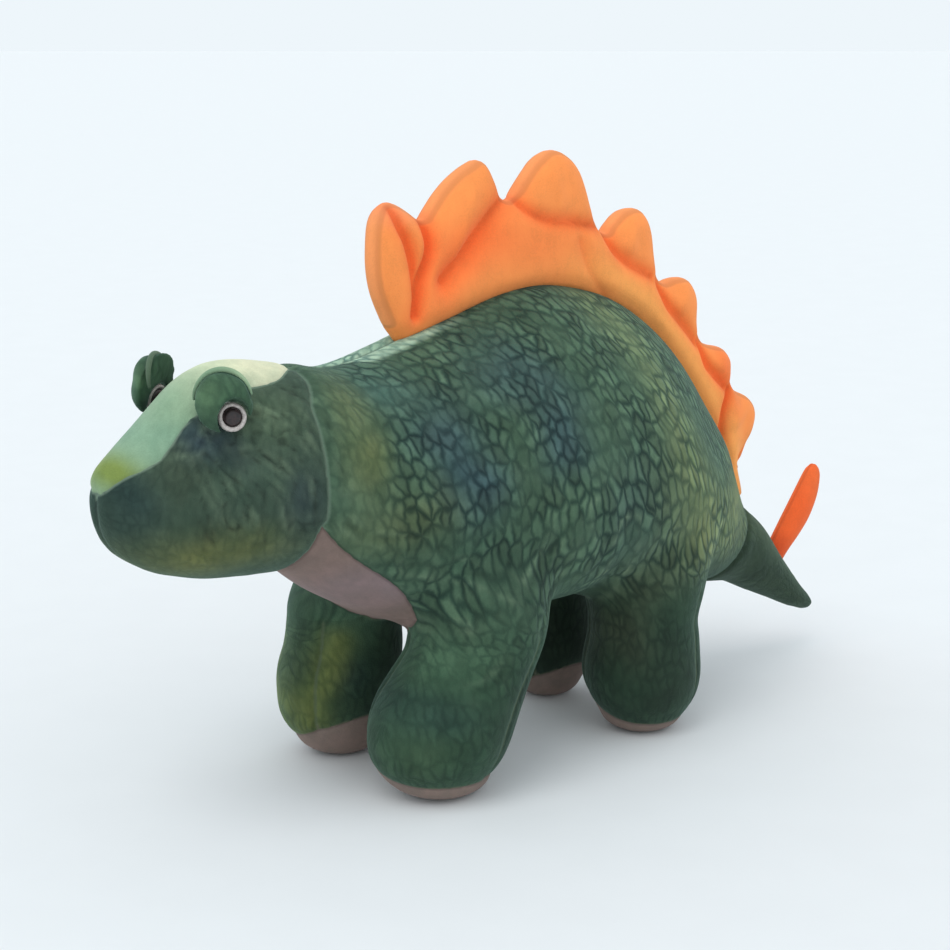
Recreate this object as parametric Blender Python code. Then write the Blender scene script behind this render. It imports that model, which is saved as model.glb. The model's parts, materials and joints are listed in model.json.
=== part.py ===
"""A stuffed dinosaur: sewn panels over stuffing, with a crest, a tail spike and safety eyes.

Built in a drawing frame in millimetres: the head points along -X, +Z is up, the floor is Z = 0
and X = 0 is over the front soles.  SHIFT_X then puts the origin under the middle of the length.
"""
import bmesh
import bpy
import numpy as np
from mathutils import Matrix, Vector

MM = 0.001
SHIFT_X = -73.9            # drawing frame to part frame

CLOTH = 2.0                # pile fabric with its seam padding
GAP = 0.3                  # clearance between two pieces that touch
SLACK = 1.0                # room between the flat facets of a panel and of the stuffing in it
SEAM = 0.5                 # width left open along a seam between two panels
FACE_CLOTH = 1.5           # thinner fabric of the crest
SPIKE_CLOTH = 1.2

NECK = (-34.0, 0.0, 140.0)         # pivots, each at the middle of a ball-shaped limb end
NECK_BALL = 36.0
TAIL = (205.0, 0.0, 66.0)
TAIL_BALL = 20.0
HIP_FRONT = (30.0, 33.0, 72.0)     # the left hip has the same X and Z and the opposite Y
HIP_FRONT_BALL = 27.0
HIP_REAR = (127.0, 31.0, 68.0)
HIP_REAR_BALL = 26.0
POCKET = 0.5               # room around a ball end in its socket
LEG_SWING = 18.0           # degrees that a leg swings each way
TAIL_WAG = 20.0            # degrees that the tail wags each way

SOLE_TOP = 7.6             # height of the seam round a sole
EYE_AT = (-82.5, 164.2)    # X and Z of an eye on the side of the head
EYE_TURN = (-0.34, -0.90, 0.24)    # the way the left eye looks
EYE_BALL = 3.6             # radius of the pupil dome
EYE_RING = 5.4
EYE_SHANK = 2.0
EYE_STEM = 8.0

# Body: X, underside Z, top Z, half width, share of narrowing towards the back
BODY = [
    (-25, 81, 175, 39, 0.05),
    (-12, 74.5, 177, 44, 0.10),
    (6, 67, 181, 50, 0.14),
    (32, 61, 188, 54, 0.20),
    (62, 59, 196, 57, 0.26),
    (93, 59, 198, 58, 0.30),
    (122, 58, 191, 57, 0.30),
    (147, 55, 177, 52, 0.28),
    (173, 50, 150, 44, 0.24),
    (193, 46, 121, 34, 0.16),
    (207, 46, 97, 25, 0.08),
    (216, 52, 84, 15, 0.0),
]
# Head: X, underside Z, top Z, half width, share of narrowing towards the top
HEAD = [
    (-128, 133, 143.5, 2.5, 0.0),
    (-127.2, 126, 148, 6, 0.0),
    (-124, 119, 151, 10, 0.02),
    (-117, 112, 154, 16.5, 0.05),
    (-107, 106, 161.5, 23.5, 0.09),
    (-98, 103, 170, 28, 0.13),
    (-88, 101, 178, 31, 0.16),
    (-76, 99.5, 182, 33, 0.15),
    (-62, 98.5, 182, 35, 0.12),
    (-48, 100, 178.5, 36.5, 0.06),
    (-34, 104, 176, 36, 0.0),
]
# Tail: X and Z of its middle line, radius
TAIL_LINE = [
    (205, 66, 20),
    (217, 59, 18),
    (232, 48, 14.5),
    (246, 38, 11),
    (258, 29.5, 8),
    (267, 24, 5.6),
    (272.5, 21, 3),
    (274, 20, 0.8),
]
# Legs below the ball: Z, X of the middle, radius along X, radius along Y
FRONT_LEG = [
    (60, 26, 28, 27),
    (47, 18, 28, 26),
    (34, 11, 29, 26.5),
    (22, 8, 28, 26),
    (13, 8, 26, 25),
    (8, 9, 23.5, 22.5),
]
REAR_LEG = [
    (58, 126, 26, 26),
    (46, 124, 25.5, 25),
    (34, 122, 27, 26),
    (22, 121, 27, 26),
    (13, 122, 25, 24),
    (8, 123, 22.5, 21.5),
]
# Crest: X of its foot on the back, then X and Z of its free edge
CREST = [
    (13, 10, 186),
    (16, 3, 205),
    (20, 0, 222),
    (24, 7, 236),
    (30, 20, 231),
    (37, 29, 226),
    (46, 40, 241),
    (55, 55, 250),
    (64, 64, 241),
    (73, 70, 234),
    (82, 80, 247),
    (92, 94, 253),
    (103, 109, 247),
    (114, 118, 228),
    (125, 128, 216),
    (134, 139, 224),
    (143, 153, 223),
    (152, 159, 206),
    (160, 163, 192),
    (167, 179, 192),
    (174, 186, 181),
    (180, 189, 161),
    (186, 203, 158),
    (192, 207, 145),
    (198, 211, 136),
    (204, 225, 134),
    (208, 227, 118),
    (212, 217, 104),
    (216, 221, 92),
]
CREST_HALF = 10.0          # half thickness of the stuffed crest at its foot
CREST_LIFT = 0.5           # height of its foot over the seam along the back
# Tail spike: X and Z of its middle line, half length of the section, half thickness
SPIKE_LINE = [
    (246.5, 54.0, 5.8, 3.8),
    (255, 61.5, 6.8, 4.6),
    (262.5, 69.5, 7.0, 4.8),
    (268.5, 78.0, 6.2, 4.4),
    (271.5, 85.5, 4.6, 3.4),
    (272.5, 90.0, 1.4, 1.0),
]

AROUND = 20                # points round the body, the head and their stuffing


# ---------------------------------------------------------------- scene and materials
def clear_scene():
    for thing in list(bpy.data.objects):
        bpy.data.objects.remove(thing, do_unlink=True)


def collection(name):
    made = bpy.data.collections.new(name)
    bpy.context.scene.collection.children.link(made)
    return made


def material(name, colour, roughness, metallic=0.0):
    made = bpy.data.materials.new(name)
    made.use_nodes = True
    shader = made.node_tree.nodes["Principled BSDF"]
    shader.inputs["Base Color"].default_value = (*colour, 1.0)
    shader.inputs["Roughness"].default_value = roughness
    shader.inputs["Metallic"].default_value = metallic
    made.diffuse_color = (*colour, 1.0)
    return made


clear_scene()
PARTS = collection("stuffed_dinosaur")
CUTTERS = collection("cutters")
GREEN = material("green_scaly_plush", (0.052, 0.112, 0.072), 0.9)
PALE = material("pale_green_plush", (0.25, 0.36, 0.24), 0.9)
TAUPE = material("taupe_plush", (0.18, 0.125, 0.105), 0.9)
ORANGE = material("orange_plush", (0.86, 0.22, 0.055), 0.85)
WADDING = material("polyester_wadding", (0.80, 0.80, 0.77), 0.95)
PUPIL = material("dark_plastic", (0.02, 0.012, 0.010), 0.2)
RING = material("pale_grey_plastic", (0.55, 0.54, 0.50), 0.35)
WASHER = material("washer_plastic", (0.75, 0.75, 0.72), 0.5)


# ---------------------------------------------------------------- curves and surfaces
def smooth_rows(rows, count):
    """Rows of numbers resampled evenly along their first two columns by a Catmull-Rom curve."""
    rows = np.array(rows, float)
    padded = np.vstack([2 * rows[0] - rows[1], rows, 2 * rows[-1] - rows[-2]])
    fine = []
    for i in range(len(rows) - 1):
        a, b, c, d = padded[i:i + 4]
        for t in np.linspace(0, 1, 12, endpoint=False):
            fine.append(0.5 * (2 * b + (c - a) * t + (2 * a - 5 * b + 4 * c - d) * t ** 2
                               + (3 * b - a - 3 * c + d) * t ** 3))
    fine.append(rows[-1])
    fine = np.array(fine)
    run = np.concatenate([[0], np.cumsum(np.linalg.norm(np.diff(fine[:, :2], axis=0), axis=1))])
    want = np.linspace(0, run[-1], count)
    return np.array([[np.interp(w, run, fine[:, k]) for k in range(rows.shape[1])] for w in want])


def trunk_point(station, angle):
    """A point of a section that stands across X; angle 0 is the top and 90 the left side."""
    x, low, high, half, narrow = station
    up = np.cos(angle)
    width = half * (1 - narrow * (up + 0.35 * up * up))
    return np.array([x, -width * np.sin(angle), (low + high) / 2 + (high - low) / 2 * up])


def line_sections(rows, wide=None):
    """Sections square to a middle line in the XZ plane: centre, up vector, height, width."""
    rows = np.array(rows, float)
    along = np.gradient(rows[:, :2], axis=0)
    along /= np.linalg.norm(along, axis=1)[:, None]
    made = []
    for row, (dx, dz) in zip(rows, along):
        flat = row[3] if wide is None and len(row) > 3 else row[2]
        made.append((np.array([row[0], 0.0, row[1]]), np.array([-dz, 0.0, dx]), row[2], flat))
    return made


def line_point(section, angle):
    centre, up, height, width = section
    return centre + up * height * np.cos(angle) + np.array([0, -width * np.sin(angle), 0])


def leg_point(station, angle, side):
    z, x, along, across, y = station
    return np.array([x - along * np.cos(angle), side * (y + across * np.sin(angle)), z])


def offset_grid(grid, depth):
    """The same grid moved inwards by depth along its normals; rows run round a closed ring."""
    down = np.gradient(grid, axis=0)
    ring = np.roll(grid, -1, axis=1) - np.roll(grid, 1, axis=1)
    normal = np.cross(down, ring)
    normal /= np.maximum(np.linalg.norm(normal, axis=2), 1e-9)[:, :, None]
    centre = grid.mean(axis=1, keepdims=True)
    turned = np.sum(normal * (grid - centre)) < 0
    return grid + normal * (depth if turned else -depth)


# ---------------------------------------------------------------- solids
def finish(name, verts, faces, skin, group=None, pivot=(0, 0, 0), smooth=True):
    """A mesh object from points in drawing millimetres, with its origin on the pivot."""
    mesh = bpy.data.meshes.new(name)
    mesh.from_pydata([Vector(v) * MM for v in verts], [], faces)
    thing = bpy.data.objects.new(name, mesh)
    (group or PARTS).objects.link(thing)
    edit = bmesh.new()
    edit.from_mesh(mesh)
    bmesh.ops.remove_doubles(edit, verts=edit.verts, dist=1e-6)
    bmesh.ops.recalc_face_normals(edit, faces=edit.faces)
    if edit.calc_volume(signed=True) < 0:
        bmesh.ops.reverse_faces(edit, faces=edit.faces)
    for face in edit.faces:
        face.smooth = smooth
    edit.to_mesh(mesh)
    edit.free()
    if skin:
        mesh.materials.append(skin)
    mesh.transform(Matrix.Translation(-Vector(pivot) * MM))
    thing.location = (Vector(pivot) + Vector((SHIFT_X, 0, 0))) * MM
    return thing


def closed_loft(name, grid, skin, **options):
    """A closed solid through rings of points, with a fan over each end."""
    rows, round_ = grid.shape[:2]
    verts = [tuple(p) for ring in grid for p in ring]
    faces = []
    for i in range(rows - 1):
        for j in range(round_):
            k = (j + 1) % round_
            faces.append((i * round_ + j, i * round_ + k, (i + 1) * round_ + k, (i + 1) * round_ + j))
    for i in (0, rows - 1):
        verts.append(tuple(grid[i].mean(axis=0)))
        hub = len(verts) - 1
        faces += [(i * round_ + j, i * round_ + (j + 1) % round_, hub) for j in range(round_)]
    return finish(name, verts, faces, skin, **options)


def panel(name, outer, inner, skin, **options):
    """A closed sheet of fabric between two open grids of the same size."""
    rows, cols = outer.shape[:2]
    verts = [tuple(p) for p in outer.reshape(-1, 3)] + [tuple(p) for p in inner.reshape(-1, 3)]
    back = rows * cols
    faces = []
    for i in range(rows - 1):
        for j in range(cols - 1):
            a, b, c, d = i * cols + j, i * cols + j + 1, (i + 1) * cols + j + 1, (i + 1) * cols + j
            faces += [(a, b, c, d), (back + d, back + c, back + b, back + a)]
    edge = [(0, j) for j in range(cols)]
    edge += [(i, cols - 1) for i in range(1, rows)]
    edge += [(rows - 1, j) for j in range(cols - 2, -1, -1)]
    edge += [(i, 0) for i in range(rows - 2, 0, -1)]
    loop = [i * cols + j for i, j in edge]
    for a, b in zip(loop, loop[1:] + loop[:1]):
        faces.append((a, b, back + b, back + a))
    return finish(name, verts, faces, skin, **options)


def tube(name, outer, inner, skin, **options):
    """A closed sheet of fabric round a limb: two grids of full rings, open at both ends."""
    rows, round_ = outer.shape[:2]
    verts = [tuple(p) for p in outer.reshape(-1, 3)] + [tuple(p) for p in inner.reshape(-1, 3)]
    back = rows * round_
    faces = []
    for j in range(round_):
        k = (j + 1) % round_
        for i in range(rows - 1):
            a, b, c, d = i * round_ + j, i * round_ + k, (i + 1) * round_ + k, (i + 1) * round_ + j
            faces += [(a, b, c, d), (back + d, back + c, back + b, back + a)]
        last = (rows - 1) * round_
        faces += [(j, k, back + k, back + j), (last + j, last + k, back + last + k, back + last + j)]
    return finish(name, verts, faces, skin, **options)


def sock(name, outer, inner, skin, **options):
    """A sheet of fabric round a limb, open at its root and closed at its tip."""
    round_ = outer.shape[1]
    verts = [tuple(p) for p in outer.reshape(-1, 3)] + [tuple(p) for p in inner.reshape(-1, 3)]
    faces = []
    start = 0
    for grid in (outer, inner):
        for i in range(len(grid) - 1):
            for j in range(round_):
                k = (j + 1) % round_
                a, b = start + i * round_, start + (i + 1) * round_
                faces.append((a + j, a + k, b + k, b + j))
        verts.append(tuple(grid[-1].mean(axis=0)))
        last = start + (len(grid) - 1) * round_
        faces += [(last + j, last + (j + 1) % round_, len(verts) - 1) for j in range(round_)]
        start += len(grid) * round_
    back = len(outer) * round_
    faces += [(j, (j + 1) % round_, back + (j + 1) % round_, back + j) for j in range(round_)]
    return finish(name, verts, faces, skin, **options)


def lathe(name, profile, at, axis, skin, count=14, hole=False, **options):
    """A solid turned round an axis; the profile lists (radius, distance along the axis)."""
    axis = Vector(axis).normalized()
    turn = axis.to_track_quat("Z", "Y").to_matrix()
    rings = []
    for radius, along in profile:
        rings.append([Vector(at) + turn @ Vector((radius * np.cos(a), radius * np.sin(a), along))
                      for a in np.linspace(0, 2 * np.pi, count, endpoint=False)])
    if not hole:
        return closed_loft(name, np.array(rings), skin, **options)
    rows = len(rings)
    verts = [tuple(p) for ring in rings for p in ring]
    faces = [(i * count + j, i * count + (j + 1) % count, ((i + 1) % rows) * count + (j + 1) % count,
              ((i + 1) % rows) * count + j) for i in range(rows) for j in range(count)]
    return finish(name, verts, faces, skin, **options)


def ball(name, centre, radius, count=16):
    """A cutter in the shape of a ball whose flat facets all clear the radius."""
    radius = radius / np.cos(np.pi / count) ** 2
    rings = [(radius * np.sin(a), radius * np.cos(a)) for a in np.linspace(0.06, np.pi - 0.06, count // 2)]
    made = lathe(name, rings, centre, (0, 0, 1), None, count=count, group=CUTTERS)
    return hide(made)


def hide(cutter):
    cutter.hide_render = True
    cutter.display_type = "WIRE"
    return cutter


def cut(target, *cutters):
    """Take the cutters' shapes out of the target."""
    for cutter in cutters:
        change = target.modifiers.new("cut_" + cutter.name, "BOOLEAN")
        change.operation = "DIFFERENCE"
        change.solver = "EXACT"
        change.object = cutter


# ---------------------------------------------------------------- sockets
def leg_fan(name, hip, radius, side, lean):
    """The room that a swinging leg needs under its socket; lean is how far the leg slants by 12 mm down."""
    spread = np.tan(np.radians(LEG_SWING))
    rows = [(8.0, radius - 0.6, 0), (1.0, radius + 4.4, lean / 2),
            (-12.0, radius * 1.05 + 12 * spread + 3.6, lean),
            (-45.0, radius * 1.05 + 45 * spread + 3.6, lean * 3)]
    ring = np.linspace(0, 2 * np.pi, 22, endpoint=False)
    grid = np.array([[(hip[0] + slant + wide * np.cos(a), side * hip[1] + (radius + 1.2) * np.sin(a), hip[2] + up)
                      for a in ring] for up, wide, slant in rows])
    return hide(closed_loft(name, grid, None, group=CUTTERS))


SIDES = (("left", -1), ("right", 1))
SOCKETS = {}
for word, side in SIDES:
    for end, hip, size, lean in (("front", HIP_FRONT, HIP_FRONT_BALL, -4), ("rear", HIP_REAR, HIP_REAR_BALL, -1)):
        key = end + "_" + word
        SOCKETS[key] = (
            ball("socket_" + key, (hip[0], side * hip[1], hip[2]), size + POCKET),
            leg_fan("swing_" + key, hip, size, side, lean),
        )
def tail_fan():
    """The room that the tail needs behind its socket as it wags."""
    (x0, z0, _), (x1, z1, _) = TAIL_LINE[:2]
    along = Vector((x1 - x0, 0, z1 - z0)).normalized()
    spread = np.tan(np.radians(TAIL_WAG + 3))
    profile = [(0.05, -4), (TAIL_BALL + 0.3, -4), (TAIL_BALL + 2.2, 1),
               (TAIL_BALL + 2.2 + 29 * spread, 30), (0.05, 30)]
    return hide(lathe("swing_tail", profile, TAIL, along, None, count=22, group=CUTTERS))


NECK_SOCKET = ball("socket_neck", NECK, NECK_BALL + POCKET, 20)
TAIL_SOCKET = ball("socket_tail", TAIL, TAIL_BALL + POCKET)
TAIL_SWING = tail_fan()


# ---------------------------------------------------------------- body
def trunk_grids(rows, count):
    """The outside, the inside of the fabric and the outside of the stuffing of a trunk."""
    stations = smooth_rows(rows, count)
    angles = np.linspace(0, 2 * np.pi, AROUND * 4, endpoint=False)
    outer = np.array([[trunk_point(s, a) for a in angles] for s in stations])
    return outer, offset_grid(outer, CLOTH), offset_grid(outer, CLOTH + SLACK), stations


def strip(grid, start, end, cols):
    """Columns of a ring grid between two angles in degrees, one pair per row."""
    round_ = grid.shape[1]
    rows = []
    for ring, a, b in zip(grid, start, end):
        at = np.linspace(a, b, cols) / 360 * round_
        low = np.floor(at).astype(int)
        part = (at - low)[:, None]
        rows.append(ring[low % round_] * (1 - part) + ring[(low + 1) % round_] * part)
    return np.array(rows)


def seam_degrees(grid):
    """Half a seam's width as an angle, row by row."""
    size = np.linalg.norm(grid - grid.mean(axis=1, keepdims=True), axis=2).mean(axis=1)
    return np.degrees(SEAM / 2 / np.maximum(size, 4.0))


def body():
    outer, inner, core, _ = trunk_grids(BODY, 20)
    half = seam_degrees(outer)
    side_end = np.full(len(outer), 138.0)
    pieces = [
        ("side_panel_left", half, side_end - half, 9, GREEN),
        ("belly_panel", side_end + half, 360 - side_end - half, 6, TAUPE),
        ("side_panel_right", 360 - side_end + half, 360 - half, 9, GREEN),
    ]
    for name, start, end, cols, skin in pieces:
        made = panel(name, strip(outer, start, end, cols), strip(inner, start, end, cols), skin)
        cut(made, NECK_SOCKET, TAIL_SOCKET, TAIL_SWING)
        for key, cutters in SOCKETS.items():
            if name == "belly_panel" or name.endswith(key.split("_")[1]):
                cut(made, *cutters)
    inside = core[1:-1, ::4]
    filling = closed_loft("body_filling", inside, WADDING)
    cut(filling, NECK_SOCKET, TAIL_SOCKET, TAIL_SWING)
    for cutters in SOCKETS.values():
        cut(filling, *cutters)


# ---------------------------------------------------------------- head
def head():
    rows = smooth_rows(HEAD, 15)
    back = []
    for a in np.radians((14, 28, 42, 56)):
        r = NECK_BALL * np.cos(a)
        back.append((NECK[0] + NECK_BALL * np.sin(a), NECK[2] - r, NECK[2] + r, r, 0.0))
    stations = np.vstack([rows, back])
    angles = np.linspace(0, 2 * np.pi, AROUND * 4, endpoint=False)
    outer = np.array([[trunk_point(s, a) for a in angles] for s in stations])
    inner = offset_grid(outer, CLOTH)
    core = offset_grid(outer, CLOTH + SLACK)
    half = seam_degrees(outer)
    reach = np.clip((stations[:, 0] - stations[0, 0]) / 40, 0.25, 1)
    top = 34.0 * reach
    keep = slice(0, len(stations) - 2)
    made = {}
    pieces = [
        ("head_side_left", top + half, 180 - half, 8, GREEN),
        ("head_side_right", 180 + half, 360 - top - half, 8, GREEN),
        ("head_gusset", -top + half, top - half, 5, PALE),
    ]
    for name, start, end, cols, skin in pieces:
        made[name] = panel(name, strip(outer, start, end, cols)[keep], strip(inner, start, end, cols)[keep],
                           skin, pivot=NECK)
    cap = np.radians(74)
    tip = np.array([[NECK[0] + (NECK_BALL - CLOTH - SLACK) * np.sin(cap),
                     -(NECK_BALL - CLOTH - SLACK) * np.cos(cap) * np.sin(a),
                     NECK[2] + (NECK_BALL - CLOTH - SLACK) * np.cos(cap) * np.cos(a)] for a in angles])
    inside = np.concatenate([core[1:], tip[None]])[:, ::4]
    made["head_filling"] = closed_loft("head_filling", inside, WADDING, pivot=NECK)
    proud = offset_grid(outer, -GAP)
    surface = hide(closed_loft("head_surface", proud[:-1, ::2], None, group=CUTTERS))
    for word, side in SIDES:
        seat, look = eye(word, side, stations, made)
        brow(word, side, surface, seat, look)


def head_surface_y(stations, x, z):
    """How far the side of the head stands out at a given X and Z."""
    row = [np.interp(x, stations[:15, 0], stations[:15, k]) for k in range(5)]
    up = np.clip((z - (row[1] + row[2]) / 2) / ((row[2] - row[1]) / 2), -1, 1)
    return abs(trunk_point(row, np.arccos(up))[1])


def eye(word, side, stations, made):
    """A safety eye: dome and stem in one, a ring round the dome, a washer behind the fabric."""
    x, z = EYE_AT
    at = np.array([x, side * head_surface_y(stations, x, z), z])
    look = np.array([EYE_TURN[0], -side * EYE_TURN[1], EYE_TURN[2]])
    look = look / np.linalg.norm(look)
    seat = at + look * 1.6
    dome = [(0.05, -EYE_STEM), (EYE_SHANK, -EYE_STEM), (EYE_SHANK, 0.0), (EYE_BALL, 0.2)]
    dome += [(EYE_BALL * np.cos(a), 0.6 + 2.2 * np.sin(a)) for a in np.radians((0, 30, 60, 88))]
    lathe("eye_pupil_" + word, dome, seat, look, PUPIL, pivot=NECK)
    ring = [(EYE_BALL + GAP, 0.1), (EYE_BALL + GAP, 1.3), (EYE_BALL + 0.7, 1.7),
            (EYE_RING - 0.5, 1.4), (EYE_RING, 0.7), (EYE_RING, 0.1)]
    lathe("eye_ring_" + word, ring, seat, look, RING, hole=True, pivot=NECK)
    washer = [(EYE_SHANK + GAP, -6.2), (EYE_SHANK + GAP, -5.2), (6.0, -5.2), (6.0, -6.2)]
    lathe("eye_washer_" + word, washer, seat, look, WASHER, hole=True, pivot=NECK)
    hole = [(0.05, -9), (EYE_SHANK + GAP, -9), (EYE_SHANK + GAP, 0.0), (EYE_RING + GAP, -0.2),
            (EYE_RING + GAP, 6.0), (0.05, 6.0)]
    room = [(0.05, -EYE_STEM - GAP), (6.0 + GAP, -EYE_STEM - GAP), (6.0 + GAP, 0.0), (0.05, 0.0)]
    cut(made["head_side_" + word], hide(lathe("eye_hole_" + word, hole, seat, look, None, group=CUTTERS)))
    cut(made["head_filling"], hide(lathe("washer_room_" + word, room, seat, look, None, group=CUTTERS)))
    cut(made["head_side_" + word], hide(lathe("washer_seat_" + word, [
        (0.05, -6.5), (6.3, -6.5), (6.3, -4.9), (0.05, -4.9)], seat, look, None, group=CUTTERS)))
    return seat, look


def brow(word, side, surface, seat, look):
    """The padded brow that stands over an eye, resting on the head."""
    count = 12
    centre = np.array([-83.0, side * 21.0, 172.0])
    long_way = np.array([1.0, side * 0.12, 0.10])
    up_way = np.array([-0.05, side * 0.35, 1.0])
    long_way /= np.linalg.norm(long_way)
    up_way /= np.linalg.norm(up_way)
    out_way = np.cross(long_way, up_way)
    ring = np.linspace(0, 2 * np.pi, count, endpoint=False)
    rows = []
    for a in np.radians((-84, -56, -28, 0, 28, 56, 84)):
        rows.append([centre + long_way * 13 * np.sin(a)
                     + np.cos(a) * (up_way * 12 * np.cos(b) + out_way * 9 * np.sin(b)) for b in ring])
    made = closed_loft("brow_" + word, np.array(rows), GREEN, pivot=NECK)
    wide = EYE_RING + 2 * GAP
    view = [(0.05, -4), (wide, -4), (wide, 25), (0.05, 25)]
    cut(made, surface, hide(lathe("eye_view_" + word, view, seat, look, None, group=CUTTERS)))


# ---------------------------------------------------------------- legs and soles
def leg(end, word, side, hip, size, rows):
    """One leg: a fabric tube over stuffing with a ball-shaped top, and a flat sole."""
    pivot = (hip[0], side * hip[1], hip[2])
    count = 16
    angles = np.linspace(0, 2 * np.pi, count, endpoint=False)
    lower = smooth_rows([(hip[2], hip[0], size, size)] + rows, 7)
    upper = [(hip[2] + size * np.sin(a), hip[0], size * np.cos(a), size * np.cos(a))
             for a in np.radians((72, 48, 24))]
    stations = [(*s, hip[1]) for s in np.vstack([upper, lower])]
    outer = np.array([[leg_point(s, a, side) for a in angles] for s in stations])
    inner = offset_grid(outer, CLOTH)
    core = offset_grid(outer, CLOTH + GAP)
    inner[-1, :, 2] = outer[-1, :, 2]
    core[-1, :, 2] = outer[-1, :, 2]
    tag = end + "_" + word
    tube("leg_panel_" + tag, outer[1:], inner[1:], GREEN, pivot=pivot)
    closed_loft("leg_filling_" + tag, core, WADDING, pivot=pivot)
    z, x, along, across = rows[-1]
    edge = [(0.0, 0.62), (1.5, 0.79), (4.0, 0.93), (SOLE_TOP, 1.0)]
    sole = np.array([[(x - along * f * np.cos(a), side * (hip[1] + across * f * np.sin(a)), up)
                      for a in angles] for up, f in edge])
    closed_loft("sole_" + tag, sole, TAUPE, pivot=pivot)


# ---------------------------------------------------------------- tail and its spike
def tail():
    rows = smooth_rows(TAIL_LINE, 12)
    sections = line_sections(rows)
    first = sections[0]
    along = np.array([first[1][2], 0.0, -first[1][0]])
    dome = []
    for a in np.radians((72, 48, 24)):
        dome.append((np.array(TAIL) - along * TAIL_BALL * np.sin(a), first[1],
                     TAIL_BALL * np.cos(a), TAIL_BALL * np.cos(a)))
    angles = np.linspace(0, 2 * np.pi, 14, endpoint=False)
    outer = np.array([[line_point(s, a) for a in angles] for s in dome + sections])
    inner = offset_grid(outer, CLOTH)
    core = offset_grid(outer, CLOTH + GAP)
    sock("tail_panel", outer[1:], inner[1:-2], GREEN, pivot=TAIL)
    closed_loft("tail_filling", core[:-5], WADDING, pivot=TAIL)
    surface = hide(closed_loft("tail_surface", offset_grid(outer, -GAP)[4:], None, group=CUTTERS))
    spike = line_sections(smooth_rows(SPIKE_LINE, 9))
    angles = np.linspace(0, 2 * np.pi, 12, endpoint=False)
    outer = np.array([[line_point(s, a) for a in angles] for s in spike])
    inner = offset_grid(outer, SPIKE_CLOTH)
    core = offset_grid(outer, SPIKE_CLOTH + GAP)
    cover = sock("tail_spike_panel", outer, inner[:-1], ORANGE, pivot=TAIL)
    filling = closed_loft("tail_spike_filling", core[:-2], WADDING, pivot=TAIL)
    cut(cover, surface)
    cut(filling, surface)


# ---------------------------------------------------------------- crest
def crest():
    """Two orange faces sewn together round the lobes, over a thin stuffing."""
    back = smooth_rows(BODY, 80)
    steps = np.linspace(0, 1, 5)
    swell = CREST_HALF * np.sqrt(np.maximum(1 - steps ** 2, 0)) * 0.86
    thick = []
    grid = []
    for fx, ex, ez in CREST:
        fz = np.interp(fx, back[:, 0], back[:, 2]) + CREST_LIFT
        height = np.hypot(ex - fx, ez - fz)
        share = np.clip(height / 42, 0.12, 1)
        grid.append([(fx + (ex - fx) * s, fz + (ez - fz) * s) for s in steps])
        thick.append(1.9 + swell * share)
    grid = np.array(grid)
    thick = np.array(thick)

    def sheet(side, depth):
        y = side * np.maximum(thick - depth, GAP / 2)
        return np.dstack([grid[:, :, 0], y, grid[:, :, 1]])

    for word, side in SIDES:
        panel("crest_face_" + word, sheet(side, 0.0), sheet(side, FACE_CLOTH), ORANGE)
    inside = (slice(1, -1), slice(0, 4))
    core = FACE_CLOTH + SLACK
    panel("crest_filling", sheet(-1, core)[inside], sheet(1, core)[inside], WADDING)


body()
head()
for side_word, side_sign in SIDES:
    leg("front", side_word, side_sign, HIP_FRONT, HIP_FRONT_BALL, FRONT_LEG)
    leg("rear", side_word, side_sign, HIP_REAR, HIP_REAR_BALL, REAR_LEG)
tail()
crest()
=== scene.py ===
"""The stuffed dinosaur's look: sewn plush panels, stuffed crest, spike, brows and safety eyes.

Lengths are in millimetres until a mesh is made.  The drawing frame has X = 0 over the front
feet; ORIGIN, read from the CAD's front sole, carries it into the row frame.
"""
import json
import math

import bmesh
import bpy
import numpy as np
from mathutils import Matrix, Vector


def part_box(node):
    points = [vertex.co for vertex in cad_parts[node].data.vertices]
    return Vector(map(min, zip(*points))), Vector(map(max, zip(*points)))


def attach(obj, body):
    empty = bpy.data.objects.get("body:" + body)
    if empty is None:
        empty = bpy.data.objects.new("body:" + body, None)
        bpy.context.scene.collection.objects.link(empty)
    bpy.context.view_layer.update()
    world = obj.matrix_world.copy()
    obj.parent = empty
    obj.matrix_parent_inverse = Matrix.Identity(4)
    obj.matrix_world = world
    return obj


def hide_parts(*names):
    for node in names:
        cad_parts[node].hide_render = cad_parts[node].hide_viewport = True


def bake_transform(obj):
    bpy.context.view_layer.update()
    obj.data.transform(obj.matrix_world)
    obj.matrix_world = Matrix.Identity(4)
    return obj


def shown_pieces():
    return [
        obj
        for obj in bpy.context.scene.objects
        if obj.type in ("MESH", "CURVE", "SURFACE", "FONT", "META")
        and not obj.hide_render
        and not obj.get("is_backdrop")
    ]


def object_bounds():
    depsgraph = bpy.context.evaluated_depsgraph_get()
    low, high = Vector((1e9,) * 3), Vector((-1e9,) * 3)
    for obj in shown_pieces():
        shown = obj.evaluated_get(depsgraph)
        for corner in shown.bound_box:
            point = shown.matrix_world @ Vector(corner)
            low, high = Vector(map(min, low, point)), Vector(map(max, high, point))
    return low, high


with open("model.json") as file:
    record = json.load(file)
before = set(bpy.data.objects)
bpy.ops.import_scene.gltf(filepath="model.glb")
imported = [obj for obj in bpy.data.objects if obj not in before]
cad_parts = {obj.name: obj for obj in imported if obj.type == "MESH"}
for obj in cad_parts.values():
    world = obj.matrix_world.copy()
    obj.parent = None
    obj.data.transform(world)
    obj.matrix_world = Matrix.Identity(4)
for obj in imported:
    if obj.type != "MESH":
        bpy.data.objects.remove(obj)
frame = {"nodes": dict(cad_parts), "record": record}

import openvdb
from mathutils import Matrix, Vector, noise
from mathutils.kdtree import KDTree

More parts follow.
